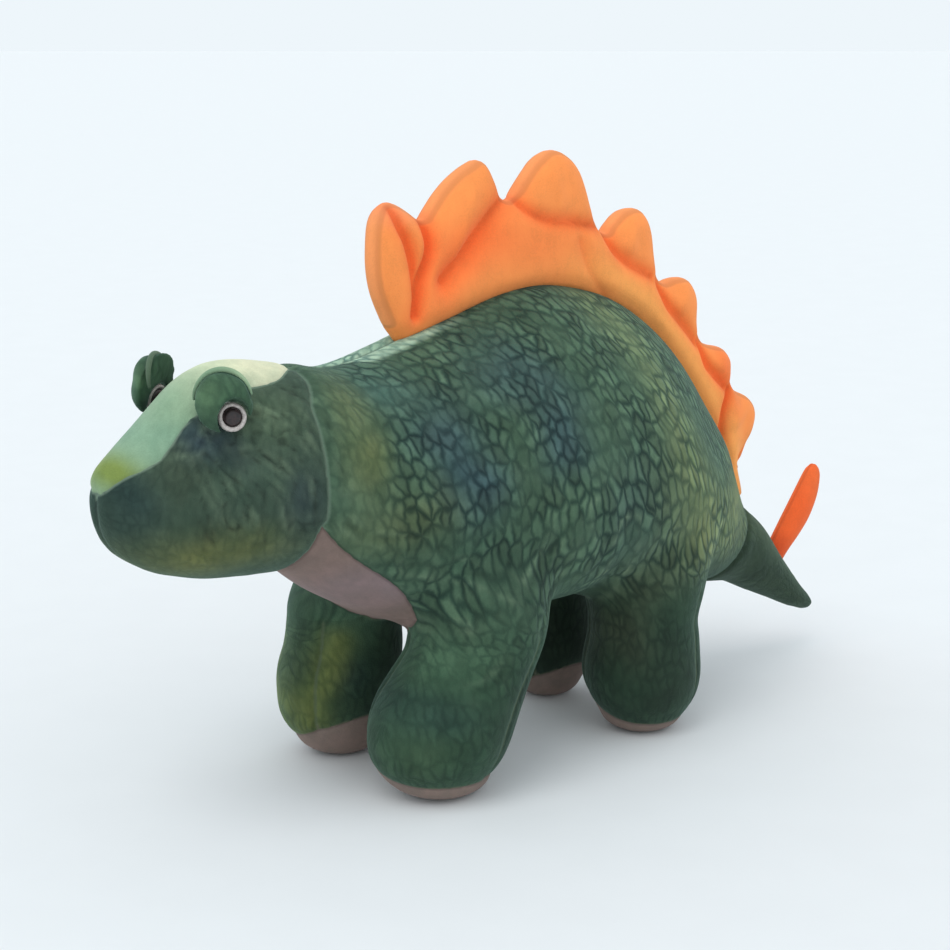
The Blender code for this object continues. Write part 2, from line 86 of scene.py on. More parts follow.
MM = 0.001
CAD_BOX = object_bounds()
SOLE_X = 9.0                       # the front sole's middle in the drawing frame
_low, _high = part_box("sole_front_left")
ORIGIN = np.array([(_low.x + _high.x) / 2 / MM - SOLE_X, 0.0, 0.0])
JOINTS = {j["name"]: j for j in frame["record"]["behaviour"]["joints"]}
SIDES = (("left", -1), ("right", 1))


# ------------------------------------------------------------------ small helpers
def pivot(name):
    """A joint's place in the drawing frame."""
    return np.array(JOINTS[name]["pos_m"]) / MM - ORIGIN


def node_middle(name):
    low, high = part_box(name)
    return np.array((low + high) / 2) / MM - ORIGIN


def smooth_table(rows, steps=14):
    """Rows of numbers made finer by a Catmull-Rom curve."""
    rows = np.array(rows, float)
    padded = np.vstack([2 * rows[0] - rows[1], rows, 2 * rows[-1] - rows[-2]])
    fine = []
    for i in range(len(rows) - 1):
        a, b, c, d = padded[i:i + 4]
        for t in np.linspace(0, 1, steps, endpoint=False):
            fine.append(0.5 * (2 * b + (c - a) * t + (2 * a - 5 * b + 4 * c - d) * t ** 2
                               + (3 * b - a - 3 * c + d) * t ** 3))
    return np.array(fine + [rows[-1]])


def look_up(table, at):
    return [np.interp(at, table[:, 0], table[:, k]) for k in range(1, table.shape[1])]


def step(low, high, value):
    t = np.clip((value - low) / (high - low), 0, 1)
    return t * t * (3 - 2 * t)


def union(a, b, soft):
    h = np.clip(0.5 + 0.5 * (b - a) / soft, 0, 1)
    return b * (1 - h) + a * h - soft * h * (1 - h)


def blob(points, centre, radii):
    """1 in the middle of an ellipsoid, fading smoothly to 0 outside it."""
    reach = np.sqrt((((points - np.array(centre)) / np.array(radii)) ** 2).sum(axis=1))
    return step(1.0, 0.0, reach)


def path_distance(points, path):
    """Distance from points to a polyline."""
    path = np.array(path, float)
    best = np.full(len(points), 1e9)
    for a, b in zip(path[:-1], path[1:]):
        d = b - a
        t = np.clip(((points - a) @ d) / max(d @ d, 1e-9), 0, 1)
        best = np.minimum(best, np.linalg.norm(points - a - t[:, None] * d, axis=1))
    return best


# ------------------------------------------------------------------ the body's volume
# X, underside Z, top Z, half width, narrowing towards the top
TRUNK = smooth_table([
    (-64, 101, 176, 33, 0.08),
    (-50, 95, 177, 36, 0.07),
    (-36, 85, 175, 39, 0.06),
    (-25, 78.5, 174.5, 41, 0.06),
    (-12, 71, 176.5, 45, 0.10),
    (6, 63.5, 181, 50, 0.14),
    (32, 61, 188, 54.5, 0.20),
    (62, 59, 196, 57.5, 0.26),
    (93, 59, 198, 58.5, 0.30),
    (122, 58, 191, 57.5, 0.30),
    (147, 55, 177, 51.5, 0.28),
    (173, 50, 150, 40, 0.20),
    (193, 46, 121, 28, 0.10),
    (207, 47, 97, 20, 0.04),
    (216, 52, 84, 13, 0.0),
])
SKULL = smooth_table([
    (-128, 131, 144, 2.4, 0.0),
    (-126.6, 122, 147.5, 6.0, 0.0),
    (-123, 115.5, 150.5, 9.8, 0.02),
    (-117, 110, 154.5, 15.2, 0.05),
    (-107, 104, 162, 22.5, 0.09),
    (-98, 101.2, 170, 27.5, 0.13),
    (-88, 99, 178, 31, 0.15),
    (-76, 97.6, 182, 33.5, 0.14),
    (-62, 96.6, 182, 35, 0.12),
    (-48, 97, 178.5, 36, 0.08),
    (-34, 104, 175, 36, 0.04),
    (-24, 112, 168, 30, 0.0),
])
# X, Z, radius along the tail
TAIL = smooth_table([
    (193, 73, 22),
    (205, 66, 20.5),
    (217, 59, 18),
    (232, 48, 14.5),
    (246, 38, 11),
    (258, 29.5, 8.4),
    (267, 24, 6.2),
    (272, 21.3, 4.2),
], 4)
# Z, X of the middle, half length, half width
FRONT_LEG = smooth_table([
    (0, 9.5, 11, 10),
    (1.2, 9, 15, 13.5),
    (4, 8, 20, 18),
    (8, 7, 24, 21.5),
    (15, 6.4, 28.6, 25.8),
    (22, 6.6, 31, 28.4),
    (31, 8.6, 32.4, 29.8),
    (40, 13, 32.6, 29.8),
    (48, 19, 31.4, 29),
    (56, 25, 30.5, 28.5),
    (64, 29, 29.5, 28.3),
    (74, 31, 28, 28),
    (86, 32, 24, 25),
    (96, 33, 15, 16),
    (101, 33, 7, 8),
])
REAR_LEG = smooth_table([
    (0, 126, 10, 9.5),
    (1.2, 125.6, 13.5, 13),
    (4, 125, 17.5, 17),
    (8, 125.6, 21.2, 20.6),
    (15, 125.2, 25.4, 24.6),
    (24, 124.6, 27.6, 27),
    (33, 124.6, 27.6, 26.8),
    (42, 125.4, 26.4, 26),
    (50, 125, 26, 25.6),
    (58, 127, 26.6, 26),
    (68, 129, 27, 26),
    (80, 131, 25, 25),
    (90, 132, 18, 19),
    (96, 132, 8, 9),
])
LEGS = {
    "front": (FRONT_LEG, pivot("hip_front_right")[1]),
    "rear": (REAR_LEG, pivot("hip_rear_right")[1]),
}
LEG_KEYS = [(end + "_" + word, end, side) for end in LEGS for word, side in SIDES]
# Z, then how far forward of its table the front right leg leans
RIGHT_LEAN = smooth_table([(0, 1), (24, 1.5), (34, 4), (46, 9.5), (58, 17), (66, 19), (76, 16), (101, 8)])
RIGHT_SIZE = 0.87


def oval(u, v, wide, tall, beyond):
    """Distance from an oval section, for a place in its half sizes, or from its table's ends."""
    reach = np.sqrt(u * u + v * v) + 1e-6
    slope = np.sqrt((u / wide) ** 2 + (v / tall) ** 2) / reach
    return np.maximum((reach - 1) / np.maximum(slope, 1e-9), beyond)


def past_ends(table, at):
    return np.maximum(table[0, 0] - at, at - table[-1, 0])


def barrel(points, table):
    """The trunk or the head: ovals along X, narrower towards the top."""
    x, y, z = points.T
    low, high, half, narrow = look_up(table, x)
    tall = (high - low) / 2
    v = (z - (high + low) / 2) / tall
    up = np.clip(v, -1.1, 1.1)
    wide = half * (1 - narrow * (up + 0.35 * up * up))
    return oval(y / wide, v, wide, tall, past_ends(table, x))


def column(points, table, middle):
    """A leg: ovals along Z."""
    x, y, z = points.T
    cx, along, across = look_up(table, z)
    return oval((x - cx) / along, (y - middle) / across, along, across, past_ends(table, z))


def horn(points, table):
    """The tail: a round cone bent along its table."""
    best = np.full(len(points), 1e9)
    for a, b in zip(table[:-1], table[1:]):
        start, end = np.array([a[0], 0, a[1]]), np.array([b[0], 0, b[1]])
        d = end - start
        t = np.clip(((points - start) @ d) / (d @ d), 0, 1)
        gap = np.linalg.norm(points - start - t[:, None] * d, axis=1)
        best = np.minimum(best, gap - a[2] - (b[2] - a[2]) * t)
    return best


def leg_table(end, side):
    """The right legs took less filling, and the front one leans forward at its top."""
    table = LEGS[end][0].copy()
    if side > 0:
        table[:, 2:] *= np.interp(table[:, 0], [0, 60, 84], [RIGHT_SIZE, RIGHT_SIZE, 1.0])[:, None]
        table[:, 1] -= look_up(RIGHT_LEAN, table[:, 0])[0] * (1.0 if end == "front" else 0.22)
    return table


def leg_fields(points):
    return {key: column(points, leg_table(end, side), side * LEGS[end][1]) for key, end, side in LEG_KEYS}


def volume(points):
    """Roughly the distance to the skin, negative inside."""
    trunk = union(barrel(points, TRUNK), barrel(points, SKULL), 7)
    whole = union(trunk, horn(points, TAIL), 5)
    for leg in leg_fields(points).values():
        whole = union(whole, leg, 11)
    return whole


def polygons(field, low, high, pitch):
    """The surface where a field is zero, as vertices and quads."""
    axes = [np.arange(a, b + pitch, pitch) for a, b in zip(low, high)]
    shape = tuple(len(a) for a in axes)
    points = np.stack(np.meshgrid(*axes, indexing="ij"), -1).reshape(-1, 3)
    grid = openvdb.FloatGrid(20.0)
    grid.copyFromArray(field(points).reshape(shape).astype(np.float32))
    verts, quads = grid.convertToQuads(isovalue=0.0)
    return verts * pitch + np.array(low), quads


def gradient(field, points, reach=0.6):
    parts = []
    for k in range(3):
        shift = np.zeros(3)
        shift[k] = reach
        parts.append((field(points + shift) - field(points - shift)) / (2 * reach))
    return np.stack(parts, -1)


def settle(field, points):
    """Points moved onto the surface where the field is zero."""
    for _ in range(3):
        slope = gradient(field, points)
        size = np.maximum((slope ** 2).sum(axis=1), 0.15)
        points = points - slope * (field(points) / size)[:, None]
    return points


# ------------------------------------------------------------------ seams
# Z, X of the seam between head and body; X, Z of the crown gusset's edge
NECK_SEAM = smooth_table([(95, -53), (116, -50), (121, -48), (136, -48), (153, -48), (164, -47.5),
                          (169, -45), (174, -42), (182, -41)])
GUSSET = smooth_table([(-128, 138.5), (-124, 142), (-120, 145), (-114, 148), (-108, 151.5), (-103, 157),
                       (-97, 163.5), (-88, 169), (-76, 174), (-66, 174.5), (-56, 175.5), (-46, 178)])
# X, then the height of the throat and belly panel's edge as a share of the body's half height
BELLY = smooth_table([(-60, -0.36), (-50, -0.42), (-44, -0.50), (-34, -0.575), (-23, -0.64), (-13, -0.705),
                      (-2, -0.84), (8, -0.88), (20, -0.84), (120, -0.80), (180, -0.90), (205, -1.0)])
BELLY_HALF = smooth_table([(-60, 60), (-22, 46), (-10, 35), (0, 26), (8, 19), (20, 14), (100, 13),
                           (180, 10), (205, 0)])
TAIL_ROOT = np.array([213.0, 0.0, 64.5])
TAIL_WAY = np.array([0.79, 0.0, -0.61])
SOLE_SEAM = 7.4
LEG_TOP = 63.0                     # the height where a leg's panels end under the flank
REAR_SEAM, FRONT_SEAM = math.radians(62), math.radians(212)     # round a leg, from +X to its outside


def neck_side(points):
    return points[:, 0] - np.interp(points[:, 2], NECK_SEAM[:, 0], NECK_SEAM[:, 1])


def gusset_side(points):
    return points[:, 2] - np.interp(points[:, 0], GUSSET[:, 0], GUSSET[:, 1])


def belly_side(points):
    low, high, _, _ = look_up(TRUNK, points[:, 0])
    v = (points[:, 2] - (high + low) / 2) / ((high - low) / 2)
    under = (np.interp(points[:, 0], BELLY[:, 0], BELLY[:, 1]) - v) * 40
    half = np.interp(points[:, 0], BELLY_HALF[:, 0], BELLY_HALF[:, 1])
    off_legs = np.min(list(leg_fields(points).values()), axis=0) - barrel(points, TRUNK)
    return np.min([under, half - np.abs(points[:, 1]), off_legs], axis=0)


def tail_side(points):
    return (points - TAIL_ROOT) @ TAIL_WAY + 9.0


def sole_side(points):
    """Positive on a sole, which reaches higher up the foot's inner side."""
    front = points[:, 0] < 70
    middle = np.where(front, LEGS["front"][1], LEGS["rear"][1])
    inner = np.maximum(middle - np.abs(points[:, 1]) + 20, 0)
    return SOLE_SEAM - 1.8 * ~front + 0.0065 * inner ** 2 - points[:, 2]


def outer_side(points, end, side):
    """Positive on a leg's outer panel, which lies between a rear seam and a front seam."""
    table, middle = leg_table(end, side), LEGS[end][1]
    u = points[:, 0] - np.interp(points[:, 2], table[:, 0], table[:, 1])
    v = points[:, 1] * side - middle
    rear = v * math.cos(REAR_SEAM) - u * math.sin(REAR_SEAM)
    front = u * math.sin(FRONT_SEAM) - v * math.cos(FRONT_SEAM)
    return np.minimum(rear, front)


def leg_side(points, key):
    """Positive on a leg, negative on the trunk beside and above it."""
    trunk = barrel(points, TRUNK)
    return np.minimum(trunk - leg_fields(points)[key], LEG_TOP - points[:, 2])


def cut_along(bm, value, inside):
    """Split the faces of a mesh along value == 0, for the vertices that inside() picks."""
    bm.verts.index_update()
    places = np.array([v.co for v in bm.verts])
    g = value(places)
    active = inside(places)
    verts = list(bm.verts)
    moved = set()
    for edge in bm.edges:
        a, b = edge.verts[0].index, edge.verts[1].index
        if not (active[a] and active[b]) or g[a] * g[b] >= 0:
            continue
        t = g[a] / (g[a] - g[b])
        for k, share in ((a, t), (b, 1 - t)):
            if share < 0.28 and k not in moved:
                other = b if k == a else a
                verts[k].co = verts[k].co.lerp(verts[other].co, share)
                g[k] = 0.0
                moved.add(k)
    crossing = [e for e in bm.edges if active[e.verts[0].index] and active[e.verts[1].index]
                and g[e.verts[0].index] * g[e.verts[1].index] < 0]
    on_line = [verts[k] for k in np.nonzero((np.abs(g) < 1e-9) & active)[0]]
    for edge in crossing:
        a, b = edge.verts
        t = g[a.index] / (g[a.index] - g[b.index])
        on_line.append(bmesh.utils.edge_split(edge, a, t)[1])
    bmesh.ops.connect_verts(bm, verts=on_line)


LABELS = (
    ["head_side_left", "head_side_right", "head_gusset", "side_left", "side_right", "belly", "tail"]
    + [part + key for part in ("leg_outer_", "leg_inner_", "sole_") for key, _, _ in LEG_KEYS]
)


def classify(places):
    """The panel that each place on the skin belongs to, as an index into LABELS."""
    index = {name: k for k, name in enumerate(LABELS)}
    left = places[:, 1] < 0
    label = np.where(left, index["side_left"], index["side_right"])
    label = np.where(belly_side(places) > 0, index["belly"], label)
    head = neck_side(places) < 0
    label = np.where(head, np.where(left, index["head_side_left"], index["head_side_right"]), label)
    label = np.where(head & (gusset_side(places) > 0), index["head_gusset"], label)
    for key, end, side in LEG_KEYS:
        on_leg = (leg_side(places, key) > 0) & (places[:, 1] * side > 0)
        outer = outer_side(places, end, side) > 0
        for part, chosen in (("leg_outer_", outer), ("leg_inner_", ~outer), ("sole_", sole_side(places) > 0)):
            label = np.where(on_leg & chosen, index[part + key], label)
    return np.where(tail_side(places) > 0, index["tail"], label)


def base_skin(pitch):
    """The whole skin with an edge along every seam, and each face's panel in its material index."""
    verts, quads = polygons(volume, (-134, -68, -6), (284, 68, 206), pitch)
    verts = settle(volume, verts)
    bm = bmesh.new()
    made = [bm.verts.new(v) for v in verts]
    for quad in quads:
        bm.faces.new([made[i] for i in quad])
    bmesh.ops.recalc_face_normals(bm, faces=bm.faces)
    head = lambda p: neck_side(p) < 6
    body = lambda p: (neck_side(p) > -4) & (tail_side(p) < 4)
    cut_along(bm, tail_side, lambda p: p[:, 0] > 160)
    cut_along(bm, neck_side, lambda p: p[:, 0] < -30)
    cut_along(bm, gusset_side, head)
    cut_along(bm, lambda p: p[:, 1], lambda p: (p[:, 2] > 110) | (neck_side(p) < 2) | (tail_side(p) > -3))
    for key, end, side in LEG_KEYS:
        x = np.interp(60.0, LEGS[end][0][:, 0], LEGS[end][0][:, 1])
        near = lambda p: (p[:, 1] * side > 2) & (np.abs(p[:, 0] - x) < 55) & (p[:, 2] < 90)
        cut_along(bm, lambda p: leg_side(p, key), near)
        cut_along(bm, lambda p: outer_side(p, end, side), lambda p: near(p) & (p[:, 2] < LEG_TOP + 1))
        cut_along(bm, sole_side, lambda p: near(p) & (p[:, 2] < 34))
    cut_along(bm, belly_side, lambda p: body(p) & (p[:, 2] > 40) & (p[:, 2] < 125))
    bm.normal_update()
    middles = np.array([f.calc_center_median() for f in bm.faces])
    for face, label in zip(bm.faces, classify(middles)):
        face.material_index = int(label)
        face.smooth = True
    return bm


# ------------------------------------------------------------------ stuffing
def to_frame(points):
    return (points + ORIGIN) * MM


def linked(name, data):
    """A new object in the scene."""
    obj = bpy.data.objects.new(name, data)
    bpy.context.scene.collection.objects.link(obj)
    return obj


def new_object(name, points, faces):
    """A mesh object in the row frame from points in the drawing frame."""
    mesh = bpy.data.meshes.new(name)
    mesh.from_pydata(to_frame(np.asarray(points)).tolist(), [], [list(map(int, f)) for f in faces])
    mesh.polygons.foreach_set("use_smooth", [True] * len(mesh.polygons))
    return linked(name, mesh)


def per_vertex(mesh, field):
    values = np.empty(len(mesh.vertices) * 3, np.float32)
    mesh.vertices.foreach_get(field, values)
    return values.reshape(-1, 3).astype(float)


def places_of(mesh):
    return per_vertex(mesh, "co") / MM - ORIGIN


def normals_of(mesh):
    return per_vertex(mesh, "normal")


def place(obj, points):
    """Put an object's vertices at points in the drawing frame."""
    obj.data.vertices.foreach_set("co", to_frame(points).astype(np.float32).ravel())
    obj.data.update()


def reworked(obj, work=lambda bm: None):
    """Let a function work on an object's mesh as a bmesh, then face the faces outward."""
    bm = bmesh.new()
    bm.from_mesh(obj.data)
    work(bm)
    bmesh.ops.recalc_face_normals(bm, faces=bm.faces)
    bm.to_mesh(obj.data)
    bm.free()


def nearest(points, targets):
    """The distance from each point to the nearest target."""
    tree = KDTree(len(targets))
    for i, p in enumerate(targets):
        tree.insert(p, i)
    tree.balance()
    return np.array([tree.find(p)[2] for p in points])


CLOTH_SETTINGS = {
    "quality": 6, "mass": 0.2, "tension_stiffness": 18, "compression_stiffness": 12, "shear_stiffness": 6,
    "bending_stiffness": 0.4, "air_damping": 2, "use_pressure": True, "vertex_group_mass": "seams",
}


def stuff(obj, pinned, cap, pressure, frames=16):
    """Let the stuffing press the cloth out between its pinned seams, no further than cap."""
    before = places_of(obj.data)
    group = obj.vertex_groups.new(name="seams")
    group.add([int(k) for k in pinned], 1.0, "REPLACE")
    cloth = obj.modifiers.new("Cloth", "CLOTH")
    for key, value in CLOTH_SETTINGS.items():
        setattr(cloth.settings, key, value)
    cloth.settings.uniform_pressure_force = pressure
    cloth.settings.effector_weights.gravity = 0
    cloth.collision_settings.use_collision = False
    cloth.point_cache.frame_start = 1
    cloth.point_cache.frame_end = frames
    scene = bpy.context.scene
    for number in range(1, frames + 1):
        scene.frame_set(number)
    shaped = obj.evaluated_get(bpy.context.evaluated_depsgraph_get())
    after = places_of(shaped.data)
    obj.modifiers.remove(cloth)
    obj.vertex_groups.remove(group)
    scene.frame_set(1)
    moved = after - before
    far = np.linalg.norm(moved, axis=1, keepdims=True)
    moved *= np.minimum(1, cap / np.maximum(far, 1e-6))
    place(obj, before + moved)


def subdivide(obj):
    """Catmull-Clark once over, applied."""
    obj.modifiers.new("Subdivision", "SUBSURF").levels = 1
    made = bpy.data.meshes.new_from_object(obj.evaluated_get(bpy.context.evaluated_depsgraph_get()))
    old = obj.data
    obj.modifiers.clear()
    obj.data = made
    bpy.data.meshes.remove(old)


# Depth of the groove that each kind of seam pulls in
SEAMS = {"neck": 1.3, "gusset": 0.7, "muzzle": 0.9, "spine": 0.9, "belly": 0.8, "leg": 0.8, "sole": 0.35,
         "tail": 1.3}


def seam_kind(a, b, z):
    pair = {a.split("_")[0], b.split("_")[0]}
    if "tail" in pair:
        return "tail"
    if "sole" in pair:
        return "sole"
    if pair == {"head"}:
        return "gusset" if "head_gusset" in (a, b) else "muzzle"
    if "head" in pair:
        return "neck"
    if pair == {"side"}:
        return "spine"
    if pair == {"leg"}:
        return "leg"
    if pair == {"side", "belly"}:
        return "belly"
    if pair == {"leg", "side"} and z > LEG_TOP - 2.5:
        return None                # the same cloth goes on from the flank into the leg
    return "leg"


def seams_of(bm):
    """The vertex pairs of every seam, by kind."""
    found = {kind: [] for kind in SEAMS}
    for edge in bm.edges:
        if len(edge.link_faces) != 2:
            continue
        a, b = (LABELS[f.material_index] for f in edge.link_faces)
        if a != b:
            kind = seam_kind(a, b, edge.verts[0].co.z)
            if kind:
                found[kind].append((edge.verts[0].index, edge.verts[1].index))
    return found


def lumps(points, size, seed):
    """Uneven stuffing, about -1 to 1."""
    shift = Vector((seed * 13.7, seed * 5.1, seed * 3.3))
    return np.array([noise.noise(Vector(p) / size + shift) for p in points]) * 1.6


def rounded(folds):
    """Folds with the corners of their paths rounded."""
    return [(smooth_table(path, 6), *sizes) for path, *sizes in folds]


# Folds on the flanks of the head and body: path in X and Z, depth, half width
FOLDS = rounded([
    ([(-90, 160), (-88, 154), (-87, 147), (-84, 137), (-80, 126)], 1.1, 1.3),
    ([(-103, 154), (-96, 154), (-90, 159)], 0.8, 1.3),
    ([(-96, 148), (-94, 138), (-90, 130)], 0.5, 1.2),
    ([(-79, 152), (-72, 149), (-66, 144)], 0.8, 1.2),
    ([(-76, 142), (-70, 137), (-66, 130), (-64, 122)], 0.7, 1.3),
    ([(-64, 148), (-59, 140), (-56, 128)], 0.9, 1.5),
    ([(-60, 166), (-53, 160), (-49, 150)], 0.8, 1.2),
    ([(-68, 168), (-60, 162), (-54, 150)], 0.7, 1.2),
    ([(-74, 168), (-68, 160), (-64, 154)], 0.6, 1.2),
    ([(-46, 164), (-42, 150), (-42, 134)], 0.6, 1.6),
    ([(-40, 120), (-28, 112), (-14, 110)], 0.7, 2.0),
    ([(-3, 67), (2, 71), (7, 72.5)], 0.9, 1.5),
    ([(57, 84), (50, 78), (44, 73), (40, 65)], 0.9, 1.6),
    ([(-12, 100), (12, 94), (30, 84)], 0.7, 3.0),
    ([(88, 100), (91, 84), (94, 66)], 1.2, 4.5),
    ([(34, 84), (45, 93), (54, 110)], 0.9, 2.6),
    ([(20, 56), (12, 50), (4, 48)], 0.5, 2.2),
    ([(70, 112), (76, 96), (80, 80)], 0.6, 3.0),
    ([(160, 86), (157, 72), (158, 60)], 0.8, 4.0),
])


def wrinkles(points):
    """Fine creases of the cheek's loose cloth, 1 in a crease."""
    way = np.array([0.42, 0.0, -0.91])
    drawn = points - 0.55 * (points @ way)[:, None] * way
    crease = np.exp(-(lumps(drawn, 6.5, 6) / 0.12) ** 2) * step(-0.8, -0.1, lumps(points, 12, 8))
    area = step(-106, -92, points[:, 0]) * step(-45, -52, points[:, 0]) * step(108, 124, points[:, 2])
    return crease * area * step(10, 18, np.abs(points[:, 1]))


def fold_depth(points):
    flat = points[:, [0, 2]]
    depth = np.zeros(len(points))
    for path, deep, wide in FOLDS:
        depth += deep * np.exp(-(path_distance(flat, path) / wide) ** 2)
    return depth * step(12, 20, np.abs(points[:, 1])) + 0.6 * wrinkles(points)


def whole_skin():
    """The stuffed, seamed skin: points, normals, quads, labels, seam distances."""
    bm = base_skin(3.4)
    bm.verts.index_update()
    seams = seams_of(bm)
    mesh = bpy.data.meshes.new("skin")
    bm.to_mesh(mesh)
    bm.free()
    mesh.transform(Matrix.Translation(ORIGIN.tolist()))
    mesh.transform(Matrix.Scale(MM, 4))
    obj = linked("skin", mesh)
    start = places_of(mesh)
    inset = 1.2 - 0.9 * lumps(start, 34, 2)
    floor = step(2.0, 9.0, start[:, 2])
    place(obj, start - normals_of(mesh) * (inset * floor)[:, None])
    pinned = np.unique([k for pairs in seams.values() for pair in pairs for k in pair])
    stuff(obj, pinned, 2.6, 3.0)
    settled = places_of(mesh)
    lines = {}
    for kind, pairs in seams.items():
        a, b = np.array(pairs).T
        lines[kind] = np.vstack([settled[a] * (1 - t) + settled[b] * t for t in (0, 0.25, 0.5, 0.75)])
    subdivide(obj)
    mesh = obj.data
    points, normals = places_of(mesh), normals_of(mesh)
    away = {kind: nearest(points, line) for kind, line in lines.items()}
    depth = fold_depth(points)
    for kind, deep in SEAMS.items():
        depth += deep * np.exp(-(away[kind] / 1.7) ** 2) + 0.35 * deep * np.exp(-(away[kind] / 5.0) ** 2)
    points = points - normals * depth[:, None]
    points[:, 2] = np.maximum(points[:, 2], 0.0)
    place(obj, points)
    normals = normals_of(mesh)
    quads = np.array([p.vertices[:] for p in mesh.polygons])
    labels = np.empty(len(mesh.polygons), np.int32)
    mesh.polygons.foreach_get("material_index", labels)
    bpy.data.objects.remove(obj)
    return points, normals, quads, labels, away


# ------------------------------------------------------------------ print, dye, painted shade and painted highlight
def srgb(*rgb):
    c = np.array(rgb, float) / 255
    return np.where(c <= 0.04045, c / 12.92, ((c + 0.055) / 1.055) ** 2.4)


def body_print(points):
    """Where the printed scales lie on a flank or a leg: across and down the cloth."""
    x, y, z = points.T
    low, high, half, _ = look_up(TRUNK, x)
    middle, tall = (low + high) / 2, (high - low) / 2
    turn = np.arctan2(np.abs(y) / half, (z - middle) / tall)
    down, across = turn * (50 + 0.4 * (tall - 50)), x.copy()
    for table, centre in LEGS.values():
        cx, along, wide = look_up(table, z)
        u, v = (x - cx) / along, (np.abs(y) - centre) / wide
        share = step(84, 52, z) * step(1.5, 1.2, np.sqrt(u * u + v * v))
        across += (cx + np.arctan2(u, np.abs(v)) * 28 - across) * share
        down += (211 - z - down) * share
    return across - 0.05 * down - 26 * (1 - np.exp(-down / 70)), down


def head_print(points):
    x, y, z = points.T
    low, high, half, _ = look_up(SKULL, x)
    turn = np.arctan2(np.abs(y) / half, (z - (low + high) / 2) / ((high - low) / 2))
    return x + 0.6 * np.abs(y) + 300, turn * 38


def tail_print(points):
    x, y, z = points.T
    along = tail_side(points)
    centre = np.interp(x, TAIL[:, 0], TAIL[:, 1])
    return np.arctan2(np.abs(y), z - centre) * 13 + 600, along


GREEN, DEEP, TEAL = srgb(66, 97, 80), srgb(38, 62, 52), srgb(48, 76, 92)
OLIVE, LIME, SHORE = srgb(106, 118, 72), srgb(122, 142, 98), srgb(70, 108, 106)
MINT, CROWN_HIGHLIGHT, MOSS = srgb(138, 166, 136), srgb(222, 226, 190), srgb(122, 140, 72)
TAUPE, MAUVE, UMBER = srgb(124, 105, 98), srgb(132, 115, 118), srgb(88, 74, 68)
# Patches of dye on the sides: X, Z, half length, half height, colour, strength
BODY_DYE = [
    (43, 168, 24, 16, TEAL, 0.6), (4, 150, 20, 18, TEAL, 0.7), (12, 130, 20, 22, TEAL, 0.75),
    (60, 152, 18, 20, TEAL, 0.6), (56, 138, 16, 16, TEAL, 0.5), (92, 108, 30, 34, TEAL, 0.25),
    (-14, 166, 20, 12, SHORE, 0.6), (-31, 150, 13, 24, OLIVE, 0.8), (146, 90, 26, 24, OLIVE, 0.7),
    (-28, 116, 18, 14, OLIVE, 0.35), (124, 112, 24, 34, OLIVE, 0.4),
    (184, 88, 26, 34, srgb(112, 122, 66), 0.85), (-10, 118, 20, 18, srgb(70, 88, 64), 0.7),
    (40, 84, 22, 24, DEEP, 0.6), (16, 98, 30, 22, srgb(48, 80, 68), 0.6),
    (112, 70, 30, 24, srgb(74, 82, 64), 0.5),
]
LEG_DYE = [
    (-1, 60, 18, 12, srgb(66, 104, 82), 0.8), (-10, 40, 20, 10, srgb(36, 66, 64), 0.6),
    (30, 30, 22, 30, srgb(28, 46, 38), 0.85), (14, 52, 14, 16, srgb(48, 80, 62), 0.5),
    (-14, 22, 14, 14, srgb(58, 86, 64), 0.6),
    (122, 24, 30, 22, srgb(32, 50, 40), 0.7), (104, 50, 12, 22, srgb(66, 76, 60), 0.6),
    (118, 44, 14, 16, srgb(36, 60, 48), 0.6), (146, 36, 14, 22, srgb(44, 70, 54), 0.5),
]
HEAD_DYE = [
    (-119, 136, 11, 18, srgb(34, 62, 66), 0.85), (-93, 157, 12, 10, srgb(50, 72, 92), 0.7),
    (-58, 130, 11, 18, srgb(42, 60, 76), 0.6), (-90, 114, 34, 13, srgb(102, 112, 62), 0.9),
    (-66, 164, 16, 12, srgb(98, 124, 100), 0.6), (-78, 142, 16, 14, srgb(72, 98, 88), 0.5),
    (-104, 146, 8, 12, srgb(62, 76, 62), 0.5), (-84, 152, 8, 10, srgb(44, 62, 66), 0.5),
]


def tint(colour, shade, share):
    """Colours moved towards a shade, by a share at each point."""
    return colour + (shade - colour) * share[:, None]


def dye_and_shading_patches(points, base, patches):
    """Vertex colours: a ground colour with soft-edged patches, some of them dye and some painted shade and
    painted highlight.
    """
    colour = np.tile(base, (len(points), 1))
    edge = lumps(points, 17, 5) * 0.18
    for x, z, long, tall, shade, strength in patches:
        share = blob(points, (x, 0, z), (long * 1.35, 1e4, tall * 1.35))
        colour = tint(colour, shade, np.clip(share * (1 + edge * 2) * strength, 0, 1))
    return colour


def side_colour(points):
    colour = dye_and_shading_patches(points, GREEN, BODY_DYE)
    band = path_distance(points[:, [0, 2]], [(106, 190), (117, 172), (122, 150), (127, 126),
                                                (136, 106), (150, 88), (170, 82)])
    colour = tint(colour, LIME, 0.5 * np.exp(-(band / 11) ** 2))
    lower = dye_and_shading_patches(points, srgb(44, 76, 60), LEG_DYE)
    lower *= 1 - 0.22 * step(80, 100, points[:, 0])[:, None]
    colour = tint(colour, lower, step(88, 50, points[:, 2]))
    stripe = path_distance(points[:, [0, 2]], [(-7, 54), (-12, 42), (-18, 29), (-16, 13)])
    right = step(0, 10, points[:, 1])
    colour = worn(tint(colour, srgb(108, 124, 62), 0.8 * right * np.exp(-(stripe / 6) ** 2)))
    # Painted highlight: the top of the far (right) shoulder turned pale mint where the light falls.
    reach = 11 * step(-22, -4, points[:, 0])
    shoulder_highlight = step(0, 3, points[:, 1] + reach) * step(46, 22, points[:, 0]) * step(-34, -18, points[:, 0])
    shoulder_highlight *= step(150, 166, points[:, 2])
    return fold_shade(points, tint(colour, srgb(158, 188, 166), 0.85 * shoulder_highlight))


def worn(colour):
    """Washed cloth: a little greyer and darker than its dye."""
    return (colour + (colour @ [0.21, 0.72, 0.07] - colour.T).T * 0.12) * [0.92, 0.89, 0.78]


